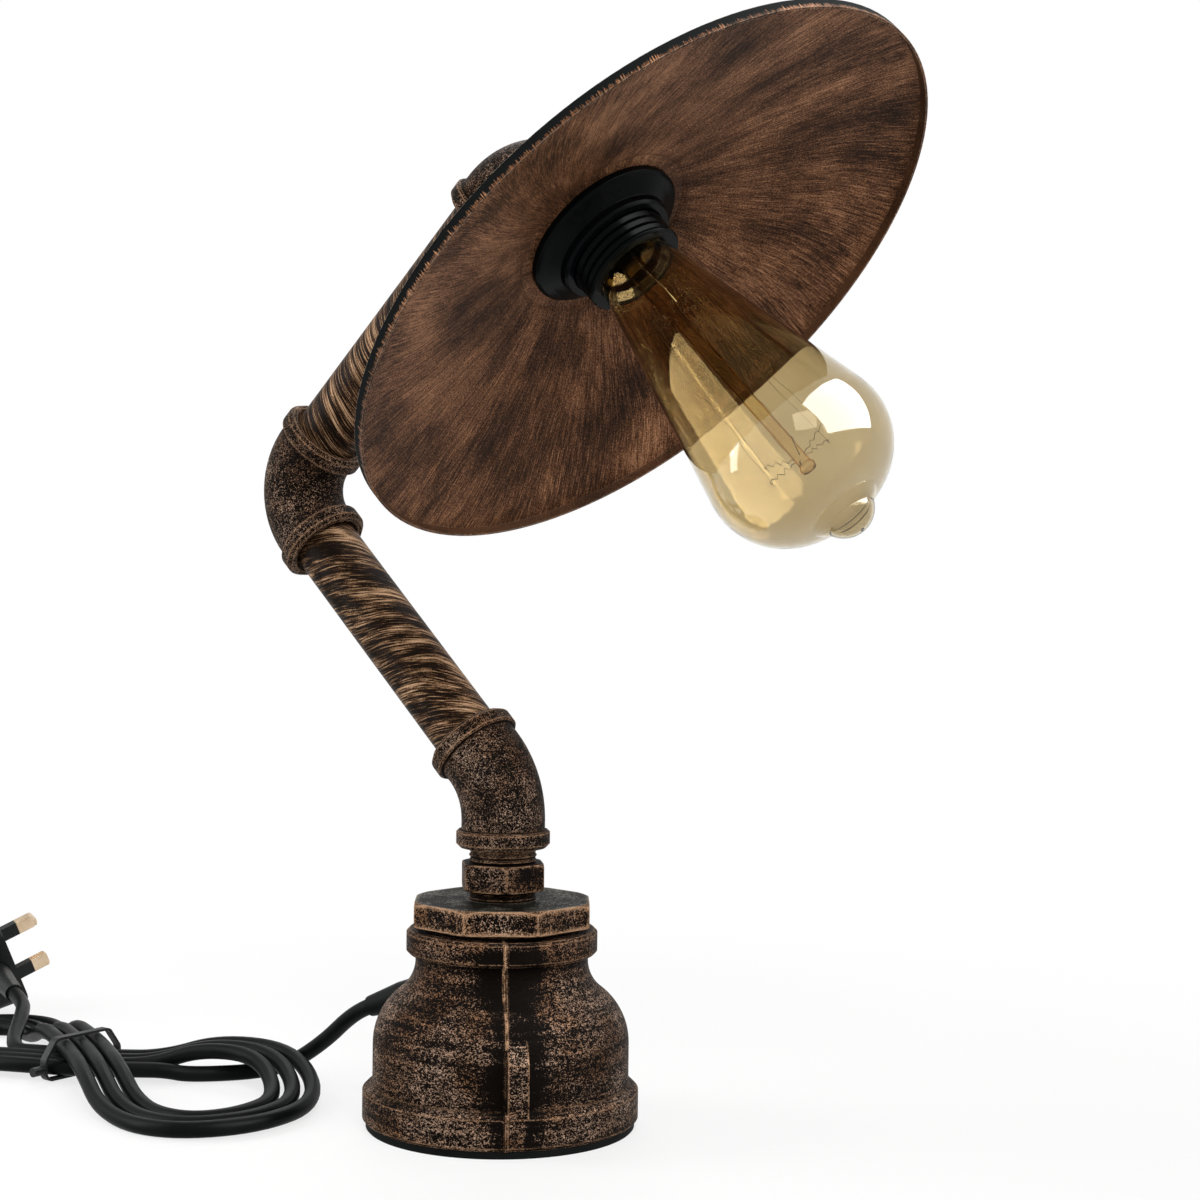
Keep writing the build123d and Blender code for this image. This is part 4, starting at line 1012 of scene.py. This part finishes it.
@dataclass
class Bulb(Part):
    """Screw-in bulb with its filament cage, in millimetres along the head's axis."""

    supports: int = 6
    rod_radius: float = 2.5
    near_height: float = 92.5
    far_height: float = 168.5
    near_radius: float = 10.0
    far_radius: float = 15.0
    near_lean: float = -1.5
    far_lean: float = -2.5
    zigzag: float = 0.9
    side_swing: float = 0.4
    spoke_points: int = 9
    hook: tuple[Pair, ...] = ((0.5, 0.7), (0.0, 1.2), (-0.6, 0.7))
    ripple: float = 0.45
    ripples: int = 7
    strand_points: int = 25
    feed_angle: float = 0.5
    feed: tuple[Triple, ...] = ((4.6, 0.0, 62.0), (4.9, 0.2, 70.0), (5.6, 0.0, 83.5), (4.2, -0.3, 89.5))
    support_wire: float = 0.13
    filament_wire: float = 0.07
    lead_wire: float = 0.3
    roundness: int = 2
    looks: ClassVar[dict[str, tuple[str, ...]]] = {
        "cap": ("bulb_cap",),
        "brass": ("bulb_contact",),
        "vitrite": ("bulb_insulator",),
        "glass": ("bulb_glass",),
        "stem": ("bulb_stem",),
    }

    def place(self, radius: float, angle: float, height: float) -> Vector:
        """Point in the lamp's frame from its distance off the axis, its angle and its height, in metres."""
        local = Vector((radius * math.cos(angle), radius * math.sin(angle), height)) * MM
        return Spot.HEAD.matrix @ local

    def spoke(self, angle: float, height: float, tip: float, lean: float) -> list[Vector]:
        """Zigzag support from the rod to a hook at its tip.

        Args:
            angle: Direction of the support.
            height: Height of its root.
            tip: Distance of its hook from the axis.
            lean: Rise of the tip over the root.

        Returns:
            Points along the wire.
        """
        points = []
        for index in range(self.spoke_points):
            share = index / (self.spoke_points - 1)
            swing = self.zigzag * (-1) ** index * math.sin(math.pi * share)
            reach = self.rod_radius + (tip - self.rod_radius) * share
            turn = angle + self.side_swing * swing / reach
            points.append(self.place(reach, turn, height + lean * share + swing))
        return points + [self.place(tip + out, angle, height + lean + up) for out, up in self.hook]

    def strand(self, angle: float) -> list[Vector]:
        """Rippled filament strand between two hooks.

        Args:
            angle: Direction of its hooks from the axis.

        Returns:
            Points along the wire.
        """
        points = []
        for index in range(self.strand_points):
            share = index / (self.strand_points - 1)
            reach = self.near_radius + (self.far_radius - self.near_radius) * share
            height = self.near_height + (self.far_height - self.near_height) * share
            swing = self.ripple * math.sin(self.ripples * math.pi * share) * math.sin(math.pi * share)
            points.append(self.place(reach - swing, angle + swing / reach, height))
        return points

    def wires(
        self, name: str, runs: list[list[Vector]], radius: float, material: bpy.types.Material
    ) -> bpy.types.Object:
        """Make thin round wires along lists of points.

        Args:
            name: Name of the piece.
            runs: Points along each wire, in metres.
            radius: Radius of the wire in millimetres.
            material: Its finish.

        Returns:
            The piece, riding on the bulb.
        """
        curve = bpy.data.curves.new(name, "CURVE")
        curve.dimensions = "3D"
        for run in runs:
            spline = curve.splines.new("POLY")
            spline.points.add(len(run) - 1)
            for control, point in zip(spline.points, run):
                control.co = (*point, 1.0)
        curve.bevel_depth = radius * MM
        curve.bevel_resolution = self.roundness
        curve.use_fill_caps = True
        curve.materials.append(material)
        piece = bpy.data.objects.new(name, curve)
        bpy.context.collection.objects.link(piece)
        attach(piece, "bulb")
        LOG.info("built %s with %d wires", name, len(runs))
        return piece

    def build(self, palette: Palette) -> None:
        """Make the supports, the filament and the two wires that lead the current in.

        Args:
            palette: Finishes.
        """
        angles = [math.tau * index / self.supports for index in range(self.supports)]
        near = (self.near_height, self.near_radius, self.near_lean)
        far = (self.far_height, self.far_radius, self.far_lean)
        spokes = [self.spoke(angle, *ring) for ring in (near, far) for angle in angles]
        supports = self.wires("support_zigzag", spokes, self.support_wire, palette.materials["wire"])
        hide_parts("support_wires")
        strands = [self.strand(angle) for angle in angles]
        filament = self.wires("filament_strands", strands, self.filament_wire, palette.materials["wire"])
        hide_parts("filament")
        sides = (self.feed_angle, self.feed_angle + math.pi)
        feeds = [[self.place(radius, side + turn, up) for radius, turn, up in self.feed] for side in sides]
        self.wires("lead_in_wires", feeds, self.lead_wire, palette.materials["lead_wire"])


class Reach(Enum):
    """Surfaces that a light panel reaches."""

    ALL = "all"
    MATT = "matt"
    SHINY = "shiny"


@dataclass(frozen=True)
class Panel:
    """Soft light panel aimed at the lamp, in metres and watts."""

    name: str
    place: Triple
    size: Pair
    power: float
    aim: Triple = (0.0, 0.0, 0.25)
    reach: Reach = Reach.ALL

    def build(self) -> bpy.types.Object:
        """Make the light.

        Returns:
            The light.
        """
        data = bpy.data.lights.new(self.name, "AREA")
        data.shape = "RECTANGLE"
        data.size, data.size_y = self.size
        data.energy = self.power
        light = bpy.data.objects.new(self.name, data)
        light.location = self.place
        light.visible_diffuse = self.reach is not Reach.SHINY
        light.visible_glossy = self.reach is not Reach.MATT
        light.rotation_mode = "QUATERNION"
        light.rotation_quaternion = (Vector(self.aim) - Vector(self.place)).to_track_quat("-Z", "Y")
        bpy.context.collection.objects.link(light)
        return light


@dataclass
class Studio:
    """White surroundings with soft panels."""

    sky: float = 0.46
    floor_half: float = 4.0
    floor_tone: Colour = (0.86, 0.86, 0.86, 1.0)
    shadow_share: float = 0.25
    shadow_reach: Pair = (0.22, 0.52)
    panels: tuple[Panel, ...] = (
        Panel("key", (0.95, -0.95, 1.15), (0.7, 0.7), 17.0, reach=Reach.MATT),
        Panel("window", (0.78, 0.12, 0.92), (1.25, 1.1), 58.0, (0.13, 0.0, 0.26), Reach.SHINY),
        Panel("strip", (-0.62, -0.62, 0.42), (0.2, 0.9), 4.5, (0.13, 0.0, 0.26), Reach.SHINY),
        Panel("side", (-0.85, -0.5, 0.7), (0.5, 0.9), 6.0),
        Panel("rim", (-0.75, 0.95, 1.3), (0.9, 0.5), 8.0),
    )

    def build(self) -> None:
        """Make the floor, the world and the lights."""
        self.floor()
        self.world()
        for panel in self.panels:
            panel.build()

    def seen(self, tree: bpy.types.NodeTree) -> Socket:
        """One for rays that show the background, from the camera, in a reflection or through glass.

        Args:
            tree: Node tree that asks.

        Returns:
            The mask of those rays.
        """
        path = tree.nodes.new("ShaderNodeLightPath").outputs
        shown = path["Is Camera Ray"]
        for kind in ("Is Glossy Ray", "Is Transmission Ray"):
            larger = tree.nodes.new("ShaderNodeMath")
            larger.operation = "MAXIMUM"
            tree.links.new(shown, larger.inputs[0])
            tree.links.new(path[kind], larger.inputs[1])
            shown = larger.outputs[0]
        return shown

    def floor(self) -> None:
        """Pale floor that reads white and keeps the lamp's shadow."""
        mesh = bpy.data.meshes.new("floor")
        shape = bmesh.new()
        bmesh.ops.create_grid(shape, x_segments=1, y_segments=1, size=self.floor_half)
        shape.to_mesh(mesh)
        shape.free()
        floor = bpy.data.objects.new("floor", mesh)
        bpy.context.collection.objects.link(floor)
        g = Graph("floor_white")
        matt = g.add("ShaderNodeBsdfDiffuse", {"Color": self.floor_tone})
        glow = g.add("ShaderNodeEmission", {"Color": WHITE, "Strength": 1.0})
        away = g.vector("LENGTH", g.coords()).outputs["Value"]
        lit = g.remap(away, *self.shadow_reach, 1.0 - self.shadow_share, 1.0)
        share = g.math("MULTIPLY", self.seen(g.tree), lit)
        both = g.add("ShaderNodeMixShader", {0: share, 1: matt.outputs[0], 2: glow.outputs[0]})
        g.add("ShaderNodeOutputMaterial", {"Surface": both.outputs[0]})
        mesh.materials.append(g.material)

    def world(self) -> None:
        """White surroundings that light the lamp evenly."""
        world = bpy.data.worlds.new("studio")
        world.use_nodes = True
        tree = world.node_tree
        tree.nodes.clear()
        both = tree.nodes.new("ShaderNodeMixShader")
        tree.links.new(self.seen(tree), both.inputs[0])
        for place, strength in ((1, self.sky), (2, 1.0)):
            light = tree.nodes.new("ShaderNodeBackground")
            light.inputs["Color"].default_value = WHITE
            light.inputs["Strength"].default_value = strength
            tree.links.new(light.outputs[0], both.inputs[place])
        output = tree.nodes.new("ShaderNodeOutputWorld")
        tree.links.new(both.outputs[0], output.inputs["Surface"])
        bpy.context.scene.world = world


def main() -> None:
    """Build every part of the scene in order."""
    logging.basicConfig(level=logging.INFO, format="%(name)s: %(message)s")
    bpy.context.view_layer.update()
    bpy.context.scene.view_settings.view_transform = "Standard"
    Viewpoint().build()
    palette = Palette()
    cord = SupplyCord()
    cord.build(palette)
    bulb = Bulb()
    bulb.build(palette)
    for part in (Base(), PipeArm(), Head(), bulb, cord):
        part.dress(palette)
        LOG.info("finished %s", type(part).__name__)
    Studio().build()


if __name__ == "__main__":
    main()
